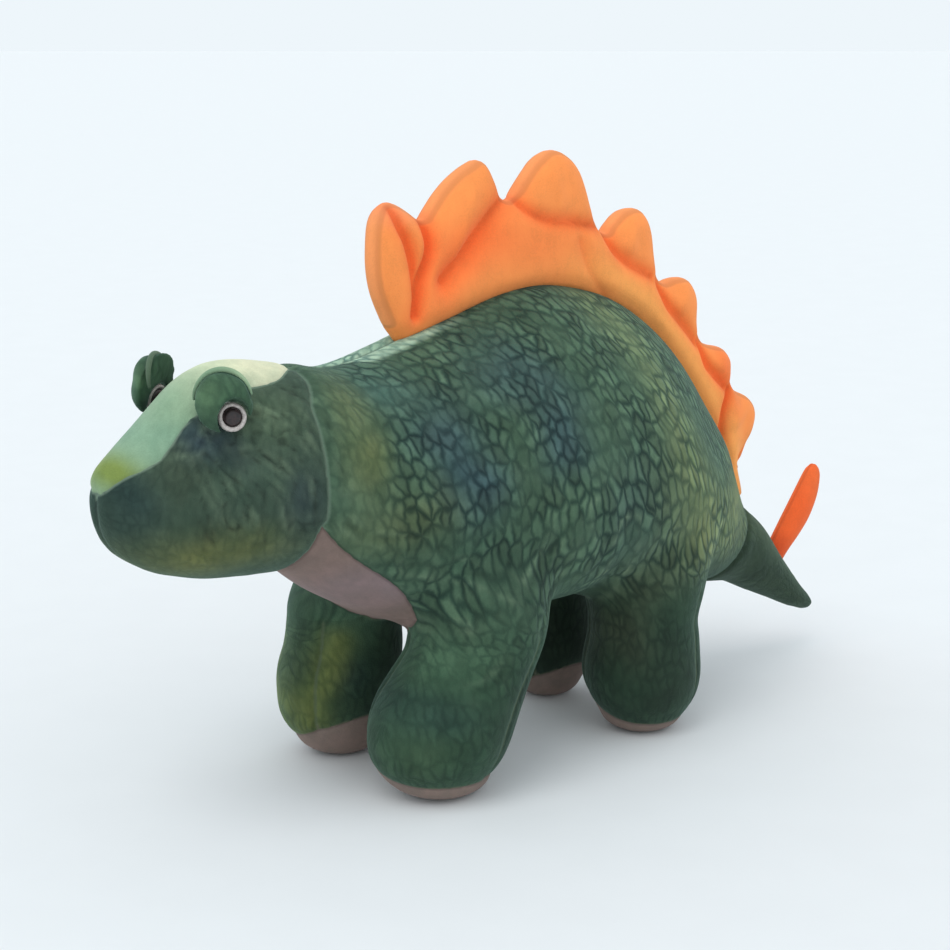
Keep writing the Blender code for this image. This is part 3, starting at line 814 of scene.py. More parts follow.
def fold_shade(points, colour):
    """Painted shade: darker colour in the folds, with a pale line beside each."""
    flat = points[:, [0, 2]]
    for path, deep, wide in FOLDS:
        gap = path_distance(flat, path)
        share = min(1.35 * deep, 1.3) * step(12, 18, np.abs(points[:, 1]))
        share = share * (0.35 + 0.65 * lumps(points + 300, 9, 4))
        # Painted shade along each fold.
        colour = colour * (1 - 0.40 * share * np.exp(-(gap / (0.6 * wide)) ** 2))[:, None]
        edge = 0.16 * share * np.exp(-((gap - 1.5 * wide) / 1.2) ** 2)
        colour = tint(colour, srgb(150, 172, 140), edge)
    return colour


def head_colour(points):
    colour = worn(dye_and_shading_patches(points, srgb(62, 86, 74), HEAD_DYE)) * 0.86
    # Painted shade in the cheek's fine creases.
    colour *= 1 - 0.46 * wrinkles(points)[:, None]
    return fold_shade(points, colour)


def gusset_colour(points):
    colour = dye_and_shading_patches(points, MINT, [(-120, 146, 10, 8, MOSS, 0.95),
                                 (-104, 156, 12, 10, srgb(118, 156, 134), 0.7)])
    # Painted highlight: cream along the top of the crown, and on the crown towards the neck.
    ridge = step(-96, -74, points[:, 0]) * step(18, 6, np.abs(points[:, 1]))
    colour = tint(colour, CROWN_HIGHLIGHT, 0.8 * ridge)
    return tint(colour, srgb(222, 218, 186), 0.7 * step(-78, -62, points[:, 0]))


def belly_colour(points):
    colour = dye_and_shading_patches(points, TAUPE, [(-20, 90, 24, 16, MAUVE, 0.8)])
    return tint(colour, srgb(96, 88, 70), step(30, 60, points[:, 0]))


def sole_colour(points):
    return dye_and_shading_patches(points, srgb(128, 112, 104), [(30, 0, 18, 40, UMBER, 0.6), (140, 0, 18, 40, UMBER, 0.6)])


def tail_colour(points):
    colour = np.tile(srgb(38, 54, 38), (len(points), 1))
    # Painted highlight: the tail lighter along its top.
    top = step(0, 14, points[:, 2] - np.interp(points[:, 0], TAIL[:, 0], TAIL[:, 1]))
    return tint(colour, srgb(66, 80, 54), 0.5 * top)


# ------------------------------------------------------------------ materials
class Nodes:
    """A material's node tree, with short names for the nodes used here."""

    def __init__(self, name):
        self.material = bpy.data.materials.new(name)
        self.material.use_nodes = True
        self.tree = self.material.node_tree
        self.shader = self.tree.nodes["Principled BSDF"]

    def add(self, kind, inputs=None, **settings):
        node = self.tree.nodes.new(kind)
        for key, value in settings.items():
            setattr(node, key, value)
        for key, value in (inputs or {}).items():
            self.join(value, node.inputs[key])
        return node

    def join(self, value, socket):
        if isinstance(value, bpy.types.NodeSocket):
            self.tree.links.new(value, socket)
        else:
            socket.default_value = value

    def attribute(self, name, output="Vector"):
        return self.add("ShaderNodeAttribute", attribute_name=name).outputs[output]

    def math(self, operation, a, b):
        return self.add("ShaderNodeMath", {0: a, 1: b}, operation=operation).outputs[0]

    def vector(self, operation, a, b):
        return self.add("ShaderNodeVectorMath", {0: a, 1: b}, operation=operation).outputs[0]

    def scaled(self, vector, scale):
        return self.vector("MULTIPLY", vector, scale)

    def noise(self, vector, scale, detail=2.0, rough=0.5, output="Fac"):
        made = self.add("ShaderNodeTexNoise", {"Vector": vector, "Scale": scale, "Detail": detail,
                                               "Roughness": rough})
        return made.outputs[output]

    def ramp(self, value, low, high, to_low=0.0, to_high=1.0):
        node = self.add("ShaderNodeMapRange", {"Value": value, "From Min": low, "From Max": high,
                                               "To Min": to_low, "To Max": to_high},
                        interpolation_type="SMOOTHSTEP")
        return node.outputs["Result"]

    def mix(self, share, a, b, blend="MIX"):
        node = self.add("ShaderNodeMix", data_type="RGBA", blend_type=blend)
        for key, value in ((0, share), (6, a), (7, b)):
            self.join(value, node.inputs[key])
        return node.outputs[2]

    def times(self, colour, grey):
        made = self.add("ShaderNodeCombineColor", {0: grey, 1: grey, 2: grey}).outputs[0]
        return self.mix(1.0, colour, made, "MULTIPLY")

    def bump(self, height, strength, distance):
        inputs = {"Height": height, "Strength": strength, "Distance": distance}
        return self.add("ShaderNodeBump", inputs).outputs["Normal"]

    def finish(self, colour, normal, roughness, **fixed):
        self.join(colour, self.shader.inputs["Base Color"])
        self.join(normal, self.shader.inputs["Normal"])
        self.join(roughness, self.shader.inputs["Roughness"])
        for key, value in fixed.items():
            self.shader.inputs[key.replace("_", " ")].default_value = value
        return self.material


def rgba(colour):
    return (*[float(c) for c in colour], 1.0)


def plush(name, sheen, printed, pile=1.0, cloud=1.0):
    """Short pile cloth.  Printed cloth has soft-edged scales in the dye."""
    n = Nodes(name)
    rest = n.attribute("rest")
    ground = n.attribute("ground", "Color")
    seam = n.attribute("seam", "Fac")
    fuzz = n.noise(rest, 1.5, 3, 0.6)
    lay = n.noise(n.scaled(rest, (0.35, 0.35, 0.12)), 1.0, 3, 0.6)
    mottle = n.noise(rest, 0.09, 3, 0.55)
    colour = n.mix(cloud, ground, n.mix(1.0, ground, n.mix(
        n.ramp(mottle, 0.3, 0.7), (0.80, 0.86, 0.84, 1), (1.18, 1.14, 1.12, 1)), "MULTIPLY"))
    height = n.math("MULTIPLY", fuzz, 0.5)
    if printed:
        strength = n.attribute("strength", "Fac")
        cloth = n.attribute("print")
        wander = n.vector("SUBTRACT", n.noise(cloth, 0.10, 2, 0.5, "Color"), (0.5, 0.5, 0.5))
        drift = n.vector("ADD", cloth, n.scaled(wander, (5.0, 7.0, 0.0)))
        scaly = n.scaled(drift, (1 / 4.3, 1 / 7.6, 0.0))
        cells = lambda output, **more: n.add(
            "ShaderNodeTexVoronoi", {"Vector": scaly, "Scale": 1.0, "Randomness": 0.85},
            voronoi_dimensions="2D", **more).outputs[output]
        edges = cells("Distance", feature="DISTANCE_TO_EDGE")
        soft = n.math("ADD", edges, n.math("MULTIPLY", n.math("SUBTRACT", lay, 0.5), 0.18))
        ridge = n.ramp(soft, 0.0, 0.33)
        fade = n.ramp(n.noise(cloth, 0.045, 2, 0.5), 0.34, 0.62, 0.35, 1.0)
        share = n.math("MULTIPLY", strength, fade)
        dark = n.mix(1.0, colour, (0.26, 0.36, 0.40, 1), "MULTIPLY")
        light = n.mix(1.0, colour, (1.30, 1.24, 1.22, 1), "MULTIPLY")
        each = n.add("ShaderNodeSeparateColor", {"Color": cells("Color")}).outputs[0]
        scales = n.times(n.mix(ridge, dark, light), n.ramp(each, 0.0, 1.0, 0.74, 1.22))
        colour = n.mix(share, colour, scales)
        height = n.math("ADD", height, n.math("MULTIPLY", n.math("MULTIPLY", ridge, share), 0.8))
    streak = n.ramp(lay, 0.25, 0.75, 1 - 0.10 * cloud, 1 + 0.10 * cloud)
    speck = n.math("MULTIPLY", streak, n.ramp(fuzz, 0.2, 0.8, 0.94, 1.06))
    line = n.ramp(seam, 0.25, 1.3, 1.0, 0.0)
    colour = n.mix(n.math("MULTIPLY", line, 0.75), n.times(colour, speck), n.attribute("thread", "Color"))
    normal = n.bump(height, 0.55 * pile, 0.9 * MM)
    rough = n.ramp(fuzz, 0.2, 0.8, 0.78, 0.92)
    return n.finish(colour, normal, rough, Sheen_Weight=0.32, Sheen_Roughness=0.45, Sheen_Tint=rgba(sheen),
                    Specular_IOR_Level=0.25)


PRINTED = plush("printed_plush", srgb(150, 185, 170), True)
PLAIN = plush("plain_plush", srgb(200, 215, 200), False, 1.0, 0.5)
SHORT = plush("taupe_plush", srgb(190, 170, 165), False, 0.7, 0.5)
ORANGE = plush("orange_plush", srgb(255, 190, 140), False, 0.8, 0.25)


# ------------------------------------------------------------------ cloth pieces
CLOTH_THICKNESS = 1.6
LEG_BEND = 27                      # how far below a leg's top the end point of its span lies
NECK_BEND = {"start": (-8, 0, 140), "end": (-42, 0, 146)}      # clear of the front legs and the crest


def put_attributes(mesh, rest, ground, seam, thread, strength=None, layout=None):
    def store(name, kind, field, values):
        layer = mesh.attributes.new(name, kind, "POINT")
        layer.data.foreach_set(field, np.asarray(values, np.float32).ravel())
    one = np.ones((len(rest), 1))
    store("rest", "FLOAT_VECTOR", "vector", rest)
    store("ground", "FLOAT_COLOR", "color", np.hstack([np.clip(ground, 0, 1), one]))
    store("thread", "FLOAT_COLOR", "color", np.hstack([np.clip(thread, 0, 1), one]))
    store("seam", "FLOAT", "value", seam)
    if layout is not None:
        store("print", "FLOAT_VECTOR", "vector", np.stack([*layout, np.zeros(len(rest))], -1))
        store("strength", "FLOAT", "value", strength)


def rim_edges(quads):
    """Directed border edges of a patch of faces."""
    used = dict.fromkeys((int(a), int(b)) for quad in quads for a, b in zip(quad, np.roll(quad, -1)))
    return [(a, b) for a, b in used if (b, a) not in used]


def panel(name, skin, wanted):
    """A cloth panel: the wanted part of the skin, with its own thickness."""
    points, normals, quads, labels, away = skin
    chosen = quads[np.isin(labels, [LABELS.index(w) for w in wanted])]
    keep, flat = np.unique(chosen, return_inverse=True)
    chosen = flat.reshape(chosen.shape)
    outer, way = points[keep], normals[keep]
    count = len(keep)
    rim = rim_edges(chosen)
    faces = np.vstack([chosen, chosen[:, ::-1] + count, [(b, a, a + count, b + count) for a, b in rim]])
    obj = new_object(name, np.vstack([outer, outer - way * CLOTH_THICKNESS]), faces)
    obj.data.normals_split_custom_set_from_vertices(np.vstack([way, -way]).tolist())
    near = {kind: value[keep] for kind, value in away.items()}
    return obj, outer, near


def dress(obj, outer, near, colour, material, thread, layout=None, strength=None):
    """Give both faces of a panel its colours, seam lines, print and material."""
    seam = np.min(list(near.values()), axis=0)
    twice = lambda values: np.concatenate([values, values])
    put_attributes(obj.data, twice(outer), twice(colour), twice(seam), twice(thread),
                   None if strength is None else twice(strength),
                   None if layout is None else [twice(v) for v in layout])
    obj.data.materials.append(material)


def threads(near, ground, kinds):
    """The colour of each seam's line: dark in the fold, or pale where the cloth's edge shows."""
    colour = ground * 0.45
    for kind, shade, share in kinds:
        colour = tint(colour, shade, share * (near[kind] < 2.5))
    return colour


def body_foot(skin, x, side):
    """The lowest height of the body's own panels round one leg."""
    points, _, quads, labels, _ = skin
    own = [LABELS.index(name) for name in ("side_left", "side_right", "belly")]
    spots = points[np.unique(quads[np.isin(labels, own)])]
    return spots[(np.abs(spots[:, 0] - x) < 44) & (spots[:, 1] * side > 0), 2].min()


def make_body(skin):
    """The printed panels, the throat and belly panel, the soles and the tail."""
    for word, _ in SIDES:
        obj, outer, near = panel("flank_" + word, skin, ["side_" + word])
        ground = side_colour(outer)
        thread = threads(near, ground, [("neck", srgb(130, 156, 134), 0.5), ("leg", srgb(96, 110, 84), 0.7)])
        strength = 0.95 * step(-34, 0, outer[:, 0]) + 0.35
        strength *= 1 - 0.55 * step(96, 60, outer[:, 2])
        dress(obj, outer, near, ground, PRINTED, thread, body_print(outer), np.clip(strength, 0, 1))
        sew(obj, "body", "head", NECK_BEND, "green_plush", 0.8, "side_panel_" + word)
    obj, outer, near = panel("throat_and_belly", skin, ["belly"])
    ground = belly_colour(outer)
    dress(obj, outer, near, ground, SHORT, ground * 0.5)
    sew(obj, "body", "head", NECK_BEND, "taupe_plush", 0.8, "belly_panel", "body_filling")
    for word, _ in SIDES:
        obj, outer, near = panel("cheek_" + word, skin, ["head_side_" + word])
        ground = head_colour(outer)
        pale = srgb(158, 182, 158)
        thread = threads(near, ground, [("neck", pale, 0.35), ("gusset", pale, 0.5)])
        dress(obj, outer, near, ground, PRINTED, thread, head_print(outer), np.full(len(outer), 0.22))
        sew(obj, "head", None, None, "green_plush", 0.85, "head_side_" + word)
    obj, outer, near = panel("crown_gusset", skin, ["head_gusset"])
    ground = gusset_colour(outer)
    dress(obj, outer, near, ground, PLAIN, ground * 0.8)
    sew(obj, "head", None, None, "pale_plush", 0.85, "head_gusset", "head_filling")
    for key, end, side in LEG_KEYS:
        table, centre = LEGS[end]
        x = np.interp(50.0, table[:, 0], table[:, 1])
        obj, outer, near = panel("leg_" + key, skin, ["leg_outer_" + key, "leg_inner_" + key])
        ground = side_colour(outer)
        # Painted shade: each leg darker on its inner side, between the legs.
        ground = tint(ground, ground * 0.8, step(centre + 2, centre - 4, outer[:, 1] * side))
        thread = threads(near, ground, [("leg", srgb(90, 104, 80), 0.7), ("sole", srgb(112, 110, 92), 0.7)])
        dress(obj, outer, near, ground, PRINTED, thread, body_print(outer), np.full(len(outer), 0.40))
        top = body_foot(skin, x, side) - 1.0
        bend = {"start": (x, side * centre, top), "end": (x, side * centre, top - LEG_BEND)}
        sew(obj, "body", "leg_" + key, bend, "green_plush", 0.85, "leg_panel_" + key, "leg_filling_" + key)
        obj, outer, near = panel("foot_sole_" + key, skin, ["sole_" + key])
        ground = sole_colour(outer)
        dress(obj, outer, near, ground, SHORT, ground * 0.6)
        sew(obj, "leg_" + key, None, None, "taupe_plush", 0.85, "sole_" + key)
    obj, outer, near = panel("tail_cover", skin, ["tail"])
    ground = tail_colour(outer)
    dress(obj, outer, near, ground, PRINTED, ground * 0.55, tail_print(outer), np.full(len(outer), 0.3))
    bend = {"start": TAIL_ROOT + TAIL_WAY * 1, "end": TAIL_ROOT + TAIL_WAY * 24}
    sew(obj, "body", "tail", bend, "green_plush", 0.85, "tail_panel", "tail_filling")


def fasten(obj, node):
    """Hang a small piece on the head and hide the part it replaces."""
    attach(obj, "head")
    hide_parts(node)


def sew(obj, body, other, bend, slot, fill, *nodes):
    """Hang a soft piece on the body it rides on, or bake its place into its mesh where it spans two bodies,
    and hide the parts it replaces.
    """
    if other:
        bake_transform(obj)
    else:
        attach(obj, body)
    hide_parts(*nodes)


# ------------------------------------------------------------------ crest along the back
# X of the foot, then X and Z of the edge
CREST = smooth_table([
    (12.5, 7, 187), (13.5, 1.5, 199), (14.5, -0.5, 209), (15.5, -0.5, 218), (17, 0.5, 227), (19, 3.5, 233),
    (21.5, 8.5, 235.5), (24, 14.5, 233.5), (27, 20.5, 230), (30, 26, 227.5), (33, 29.5, 231), (37, 35.5, 238),
    (42, 42.5, 244), (48, 50.5, 248.5), (52, 54.5, 250), (56, 58.5, 248), (60, 62.5, 241), (64, 66, 235),
    (68, 69.2, 233), (72, 72.5, 235), (77, 77.5, 241), (83, 83.5, 247.5), (89, 89.5, 251.5), (95, 95.5, 252.4),
    (102, 102, 250), (109, 108, 245), (114, 112.5, 237), (118, 116.5, 227), (121.5, 121, 219.5),
    (124.5, 126.5, 215.5), (128, 130.5, 219), (133, 138, 224), (139, 146.5, 225), (144, 152, 221.5),
    (149, 155.5, 214), (153, 156.8, 204), (157, 158.8, 194.5), (161, 163, 191), (165, 170, 192.3),
    (169, 177, 192), (172, 181.5, 188), (175, 184, 181), (178.5, 184, 171), (182, 187, 163), (185, 193, 160),
    (188, 201, 158), (190.5, 206, 153), (193, 206.8, 147), (195.5, 207.2, 141.5), (198, 211, 137),
    (201, 220, 133), (203.3, 225.8, 128), (205.2, 227.5, 122), (207, 225, 114), (209.5, 219.5, 107.5),
    (211.5, 216.2, 103), (213.5, 217, 97.5), (215, 219.3, 90.5), (216.5, 221, 84.5),
], 4)
# Folds pressed into the crest: path in X and Z, share of the thickness lost, half width
CREST_FOLDS = rounded([
    ([(7, 233), (10, 226), (14, 219), (17, 207), (18, 190)], 0.42, 2.4),
    ([(24, 229), (25, 216), (20, 203), (17, 190)], 0.55, 2.6),
    ([(67, 234), (60, 230), (52, 222), (42, 212), (32, 203)], 0.50, 4.2),
    ([(69, 236), (75, 229), (86, 224), (100, 222), (118, 219)], 0.42, 2.2),
    ([(122, 219), (128, 208), (138, 201), (151, 195)], 0.40, 2.4),
    ([(156, 192), (162, 181), (171, 172), (181, 162)], 0.40, 2.4),
    ([(183, 163), (188, 151), (200, 140)], 0.42, 2.2),
    ([(203, 139), (199, 128), (199, 115)], 0.40, 2.2),
    ([(106, 214), (112, 201), (124, 189)], 0.16, 3.5),
])
# Fuller stuffing along a lobe: path in X and Z, rise, half width
CREST_RIDGES = rounded([
    ([(50, 249), (47, 236), (43, 224), (39, 212)], 1.3, 3.0),
    ([(86, 250), (90, 240), (93, 230)], 1.0, 3.0),
    ([(140, 224), (139, 217), (137, 208)], 1.2, 2.8),
    ([(172, 190), (172, 184), (168, 178)], 1.0, 2.6),
    ([(198, 157), (196, 152), (191, 148)], 1.0, 2.6),
    ([(220, 131), (213, 125), (206, 122)], 1.0, 2.6),
    ([(10, 232), (19, 222), (24, 210)], 0.8, 3.2),
])


def ridge_line(x):
    """The top of the back at X, on the middle plane."""
    low, high = np.full(len(x), 60.0), np.full(len(x), 215.0)
    for _ in range(30):
        middle = (low + high) / 2
        inside = volume(np.stack([x, np.zeros(len(x)), middle], -1)) < 0
        low, high = np.where(inside, middle, low), np.where(inside, high, middle)
    return low


def make_crest():
    foot_x = CREST[:, 0]
    foot = np.stack([foot_x, ridge_line(foot_x) - 4.0], -1)
    edge = CREST[:, 1:]
    shares = np.concatenate([np.linspace(0, 0.8, 15), [0.86, 0.91, 0.95, 0.98, 1.0]])
    flat = foot[:, None] + (edge - foot)[:, None] * shares[None, :, None]
    rows, columns = flat.shape[:2]
    spots = flat.reshape(-1, 2)
    outline = np.vstack([edge, foot[-1:]])
    to_edge = path_distance(spots, np.vstack([foot[:1], outline]))
    to_foot = path_distance(spots, foot)
    round_in = np.sqrt(np.clip(1 - (1 - np.clip(to_edge / 11, 0, 1)) ** 2, 0, 1))
    half = 8.6 * round_in * (0.42 + 0.58 * step(0, 8, to_foot)) * (1 - 0.45 * step(205, 218, spots[:, 0]))
    crease = np.zeros(len(spots))
    for path, share, wide in CREST_FOLDS:
        gap = path_distance(spots, path)
        crease = np.maximum(crease, share * np.exp(-(gap / wide) ** 2))
    half *= 1 - crease
    for path, rise, wide in CREST_RIDGES:
        gap = path_distance(spots, path)
        half += rise * np.exp(-(gap / wide) ** 2) * round_in
    sway = 1.6 * np.sin(spots[:, 0] / 19.0) * step(4, 40, to_foot)
    points = []
    for side in (-1, 1):
        y = side * (half + 0.25 * (to_edge > 0.01)) + sway
        points.append(np.stack([spots[:, 0], y, spots[:, 1]], -1))
    points = np.vstack(points)
    number = np.arange(rows * columns).reshape(rows, columns)
    quads = np.stack([number[:-1, :-1], number[1:, :-1], number[1:, 1:], number[:-1, 1:]], -1).reshape(-1, 4)
    size = rows * columns
    weld = np.arange(2 * size)
    flat_edge = np.nonzero(to_edge < 0.01)[0]
    weld[flat_edge + size] = flat_edge
    points[flat_edge, 1] = sway[flat_edge]
    faces = np.vstack([quads[:, ::-1], quads + size])
    foot_row = number[:, 0]
    closing = [(a, b, b + size, a + size) for a, b in zip(foot_row[:-1], foot_row[1:])]
    faces = weld[np.vstack([faces, closing])]
    obj = new_object("back_crest", points, [])
    bm = bmesh.new()
    made = [bm.verts.new(p) for p in to_frame(points)]
    for face in faces:
        corners = list(dict.fromkeys(int(k) for k in face))
        if len(corners) > 2:
            try:
                bm.faces.new([made[k] for k in corners])
            except ValueError:
                pass
    bmesh.ops.delete(bm, geom=[v for v in bm.verts if not v.link_faces], context="VERTS")
    bmesh.ops.remove_doubles(bm, verts=bm.verts, dist=0.02 * MM)
    bmesh.ops.recalc_face_normals(bm, faces=bm.faces)
    for face in bm.faces:
        face.smooth = True
    bm.to_mesh(obj.data)
    bm.free()
    flat = places_of(obj.data)[:, [0, 2]]
    held = (path_distance(flat, edge) < 0.3) | (path_distance(flat, foot) < 0.3)
    for path, _, _ in CREST_FOLDS:
        held |= path_distance(flat, path) < 1.0
    stuff(obj, np.nonzero(held)[0], 1.8, 2.4)
    subdivide(obj)
    points = places_of(obj.data)
    normals = normals_of(obj.data)
    flat = points[:, [0, 2]]
    to_edge = path_distance(flat, edge)
    to_foot = path_distance(flat, foot)
    hem = np.exp(-((to_edge - 1.6) / 0.7) ** 2) * 0.2
    fold = np.zeros(len(points))
    groove = np.zeros(len(points))
    for path, share, wide in CREST_FOLDS:
        gap = path_distance(flat, path)
        fold = np.maximum(fold, share * np.exp(-(gap / (wide * 1.9)) ** 2))
        groove = np.maximum(groove, 2.2 * share * np.exp(-(gap / 1.3) ** 2))
    points = points - normals * (hem + groove * step(0, 4, to_edge))[:, None]
    place(obj, points)
    base = dye_and_shading_patches(points, srgb(255, 150, 80), [
        (28, 206, 14, 22, srgb(255, 128, 66), 0.6), (46, 214, 18, 14, srgb(255, 128, 66), 0.6),
        (70, 216, 40, 12, srgb(250, 120, 60), 0.5), (140, 200, 30, 16, srgb(255, 150, 82), 0.5),
        (200, 135, 14, 30, srgb(244, 104, 52), 0.7), (10, 232, 12, 8, srgb(255, 160, 110), 0.7),
    ])
    # Painted highlight: a lighter band just above the foot of the rear lobes.
    band = np.exp(-((to_foot - 9) / 8) ** 2) * step(90, 120, points[:, 0])
    base = tint(base, srgb(255, 172, 92), 0.8 * band)
    # Painted shade: redder and darker in the crest's folds and grooves.
    base = tint(base, srgb(248, 104, 46), np.clip(fold * 1.2, 0, 0.6))
    base = tint(base, srgb(226, 86, 36), np.clip(groove * 0.5, 0, 0.5))
    base = tint(base, srgb(255, 172, 120), 0.3 * step(3.0, 0.5, to_edge))
    # Painted shadow along the crest's foot, where it meets the back.
    base *= (1 - 0.45 * np.exp(-(to_foot / 2.2) ** 2))[:, None]
    put_attributes(obj.data, points, base, np.minimum(np.abs(to_edge - 1.4), to_foot), base * 0.72)
    obj.data.materials.append(ORANGE)
    sew(obj, "body", None, None, "orange_plush", 0.7, "crest_face_left", "crest_face_right", "crest_filling")


# ------------------------------------------------------------------ tail spike
SPIKE = smooth_table([
    (245.5, 48.5, 5.0, 4.2), (250.5, 55, 5.8, 4.7), (257, 62, 6.8, 5.1), (263.5, 69.5, 7.3, 5.3),
    (269, 78, 6.6, 5.0), (272.2, 85, 5.2, 4.2), (273.4, 89, 3.8, 3.2), (273.8, 91.5, 1.6, 1.5),
], 5)


def ring_faces(rows, around):
    """Quads between each ring of points and the next."""
    turn = [(i, (i + 1) % around) for i in range(around)]
    return [(k * around + i, k * around + j, (k + 1) * around + j, (k + 1) * around + i)
            for k in range(rows - 1) for i, j in turn]


def closed_tube(rings, foot, tip):
    """Points and faces of a row of rings, closed by a point at each end."""
    rows, around = rings.shape[:2]
    faces = ring_faces(rows, around)
    last = (rows - 1) * around
    for i in range(around):
        j = (i + 1) % around
        faces += [(last + i, last + j, rows * around), (j, i, rows * around + 1)]
    return np.vstack([rings.reshape(-1, 3), [tip], [foot]]), faces


def make_spike():
    around = 40
    line = SPIKE[:, :2]
    way = np.gradient(line, axis=0)
    way /= np.linalg.norm(way, axis=1, keepdims=True)
    out = np.stack([-way[:, 1], way[:, 0]], -1)
    rows = []
    for k, (x, z, long, thick) in enumerate(SPIKE):
        turn = np.linspace(0, 2 * math.pi, around, endpoint=False)
        c, s = np.cos(turn), np.sin(turn)
        pinch = 1 - 0.10 * np.exp(-((np.abs(s)) / 0.16) ** 2)
        a, b = long * c, thick * s * pinch
        rows.append(np.stack([x + out[k, 0] * a, b, z + out[k, 1] * a], -1))
    tip = line[-1] + way[-1] * 0.8
    foot = line[0] - way[0] * 1.0
    points, faces = closed_tube(np.array(rows), (foot[0], 0, foot[1]), (tip[0], 0, tip[1]))
    obj = new_object("tail_spike", points, faces)
    reworked(obj)
    seams = np.nonzero(np.abs(points[:, 1]) < 0.35)[0]
    stuff(obj, np.union1d(seams, np.arange(around)), 1.0, 2.5, 10)
    subdivide(obj)
    points = places_of(obj.data)
    points = points - normals_of(obj.data) * (0.45 * np.exp(-(points[:, 1] / 0.6) ** 2))[:, None]
    place(obj, points)
    # Painted shade: the spike darker at its foot, where it meets the tail.
    ground = dye_and_shading_patches(points, srgb(238, 100, 46), [(246, 53, 10, 10, srgb(210, 78, 36), 0.8),
                                               (270, 84, 8, 12, srgb(246, 116, 60), 0.6)])
    put_attributes(obj.data, points, ground, np.abs(points[:, 1]), ground * 0.8)
    obj.data.materials.append(ORANGE)
    sew(obj, "tail", None, None, "orange_plush", 0.8, "tail_spike_panel", "tail_spike_filling")


# ------------------------------------------------------------------ brows and eyes
BROW_AT = np.array([-84.2, 21.3, 170.2])
BROW_RADII = np.array([11.2, 10.8, 12.8])
EYE_AT = node_middle("eye_ring_right")
EYE_WAY = np.array([-0.34, 0.90, 0.24]) / np.linalg.norm([-0.34, 0.90, 0.24])
EYE_OUT = 1.6                      # how far the eye stands off its CAD place, on the brow's cloth


def brow_field(points):
    """The stuffed hood over the right eye, with a hollow where the eye is pulled in."""
    spot = (points - BROW_AT) / BROW_RADII
    reach = np.linalg.norm(spot, axis=1) + 1e-6
    hood = (reach - 1) * reach / (np.linalg.norm(spot / BROW_RADII, axis=1) + 1e-6)
    rest = points - EYE_AT
    along = rest @ EYE_WAY
    around = np.linalg.norm(rest - along[:, None] * EYE_WAY, axis=1)
    socket = np.maximum(6.2 - around, -(along + 0.2) * 1.2)
    return -union(-hood, -socket, 1.4)


def mirrored(points, side):
    return points * np.array([1, side, 1])


def brow_rim():
    """The pale rolled edge that runs over the hood's skin from behind the eye to the brow's front."""
    turn = np.radians(np.linspace(14, 176, 44))
    across, up = np.array([0.80, 0.60, 0.0]), np.array([-0.10, 0.13, 0.98])
    ways = np.cos(turn)[:, None] * across + np.sin(turn)[:, None] * up
    return BROW_AT + ways / np.linalg.norm(ways / BROW_RADII, axis=1, keepdims=True) * 0.955


def tube(path, radii, around=12):
    """A round cord mesh along a path, closed at its ends."""
    way = np.gradient(path, axis=0)
    way /= np.linalg.norm(way, axis=1, keepdims=True)
    side = np.cross(way, [0.2, 1.0, 0.1])
    side /= np.linalg.norm(side, axis=1, keepdims=True)
    up = np.cross(way, side)
    turn = np.linspace(0, 2 * math.pi, around, endpoint=False)
    rings = path[:, None] + radii[:, None, None] * (
        side[:, None] * np.cos(turn)[None, :, None] + up[:, None] * np.sin(turn)[None, :, None])
    return closed_tube(rings, path[0], path[-1])


def make_brows():
    low, high = BROW_AT - BROW_RADII - 3, BROW_AT + BROW_RADII + 3
    verts, quads = polygons(brow_field, low, high, 1.1)
    verts = settle(brow_field, verts)
    rim = brow_rim()
    radii = 1.15 * np.sin(np.linspace(0.15, math.pi - 0.15, len(rim))) ** 0.5
    rim_points, rim_faces = tube(rim, radii)
    for word, side in SIDES:
        obj = new_object("brow_hood_" + word, mirrored(verts, side), quads if side > 0 else quads[:, ::-1])
        reworked(obj)
        reworked(obj, lambda bm: bmesh.ops.smooth_vert(bm, verts=bm.verts, factor=0.5, use_axis_x=True,
                                                       use_axis_y=True, use_axis_z=True))
        points, normals = places_of(obj.data), normals_of(obj.data)
        away = nearest(points, mirrored(rim, side))
        points = points - normals * (0.9 * np.exp(-((away - 1.6) / 1.4) ** 2))[:, None]
        points += normals * (lumps(points, 7, 3) * 0.5)[:, None]
        place(obj, points)
        # Painted shade: darker round the eye's socket and in the groove beside the rim.
        ground = dye_and_shading_patches(points, srgb(60, 88, 66), [(-96, 176, 6, 8, srgb(86, 116, 84), 0.6),
                                                 (-84, 164, 10, 6, srgb(38, 58, 50), 0.8)])
        ground = tint(ground, srgb(34, 54, 46), 0.7 * np.exp(-(away / 2.4) ** 2))
        put_attributes(obj.data, points, ground, away + 3, ground, np.full(len(points), 0.25),
                       [points[:, 0] * 1.3, points[:, 2] * 1.3])
        obj.data.materials.append(PRINTED)
        sew(obj, "head", None, None, "green_plush", 0.8, "brow_" + word)
        band = new_object("brow_rim_" + word, mirrored(rim_points, side), rim_faces)
        reworked(band)
        points = places_of(band.data)
        # Painted light on the rim: lighter on top as painted highlight, and the far (right) rim darkened all
        # over as painted shade.
        ground = dye_and_shading_patches(points, srgb(128, 156, 126), [(-80, 179, 8, 6, srgb(164, 186, 150), 0.8),
                                                    (-97, 166, 8, 12, srgb(70, 98, 76), 0.9)])
        ground *= 0.42 if side > 0 else 1.0
        put_attributes(band.data, points, ground, np.full(len(points), 9.0), ground)
        band.data.materials.append(PLAIN)
        fasten(band, "brow_" + word)


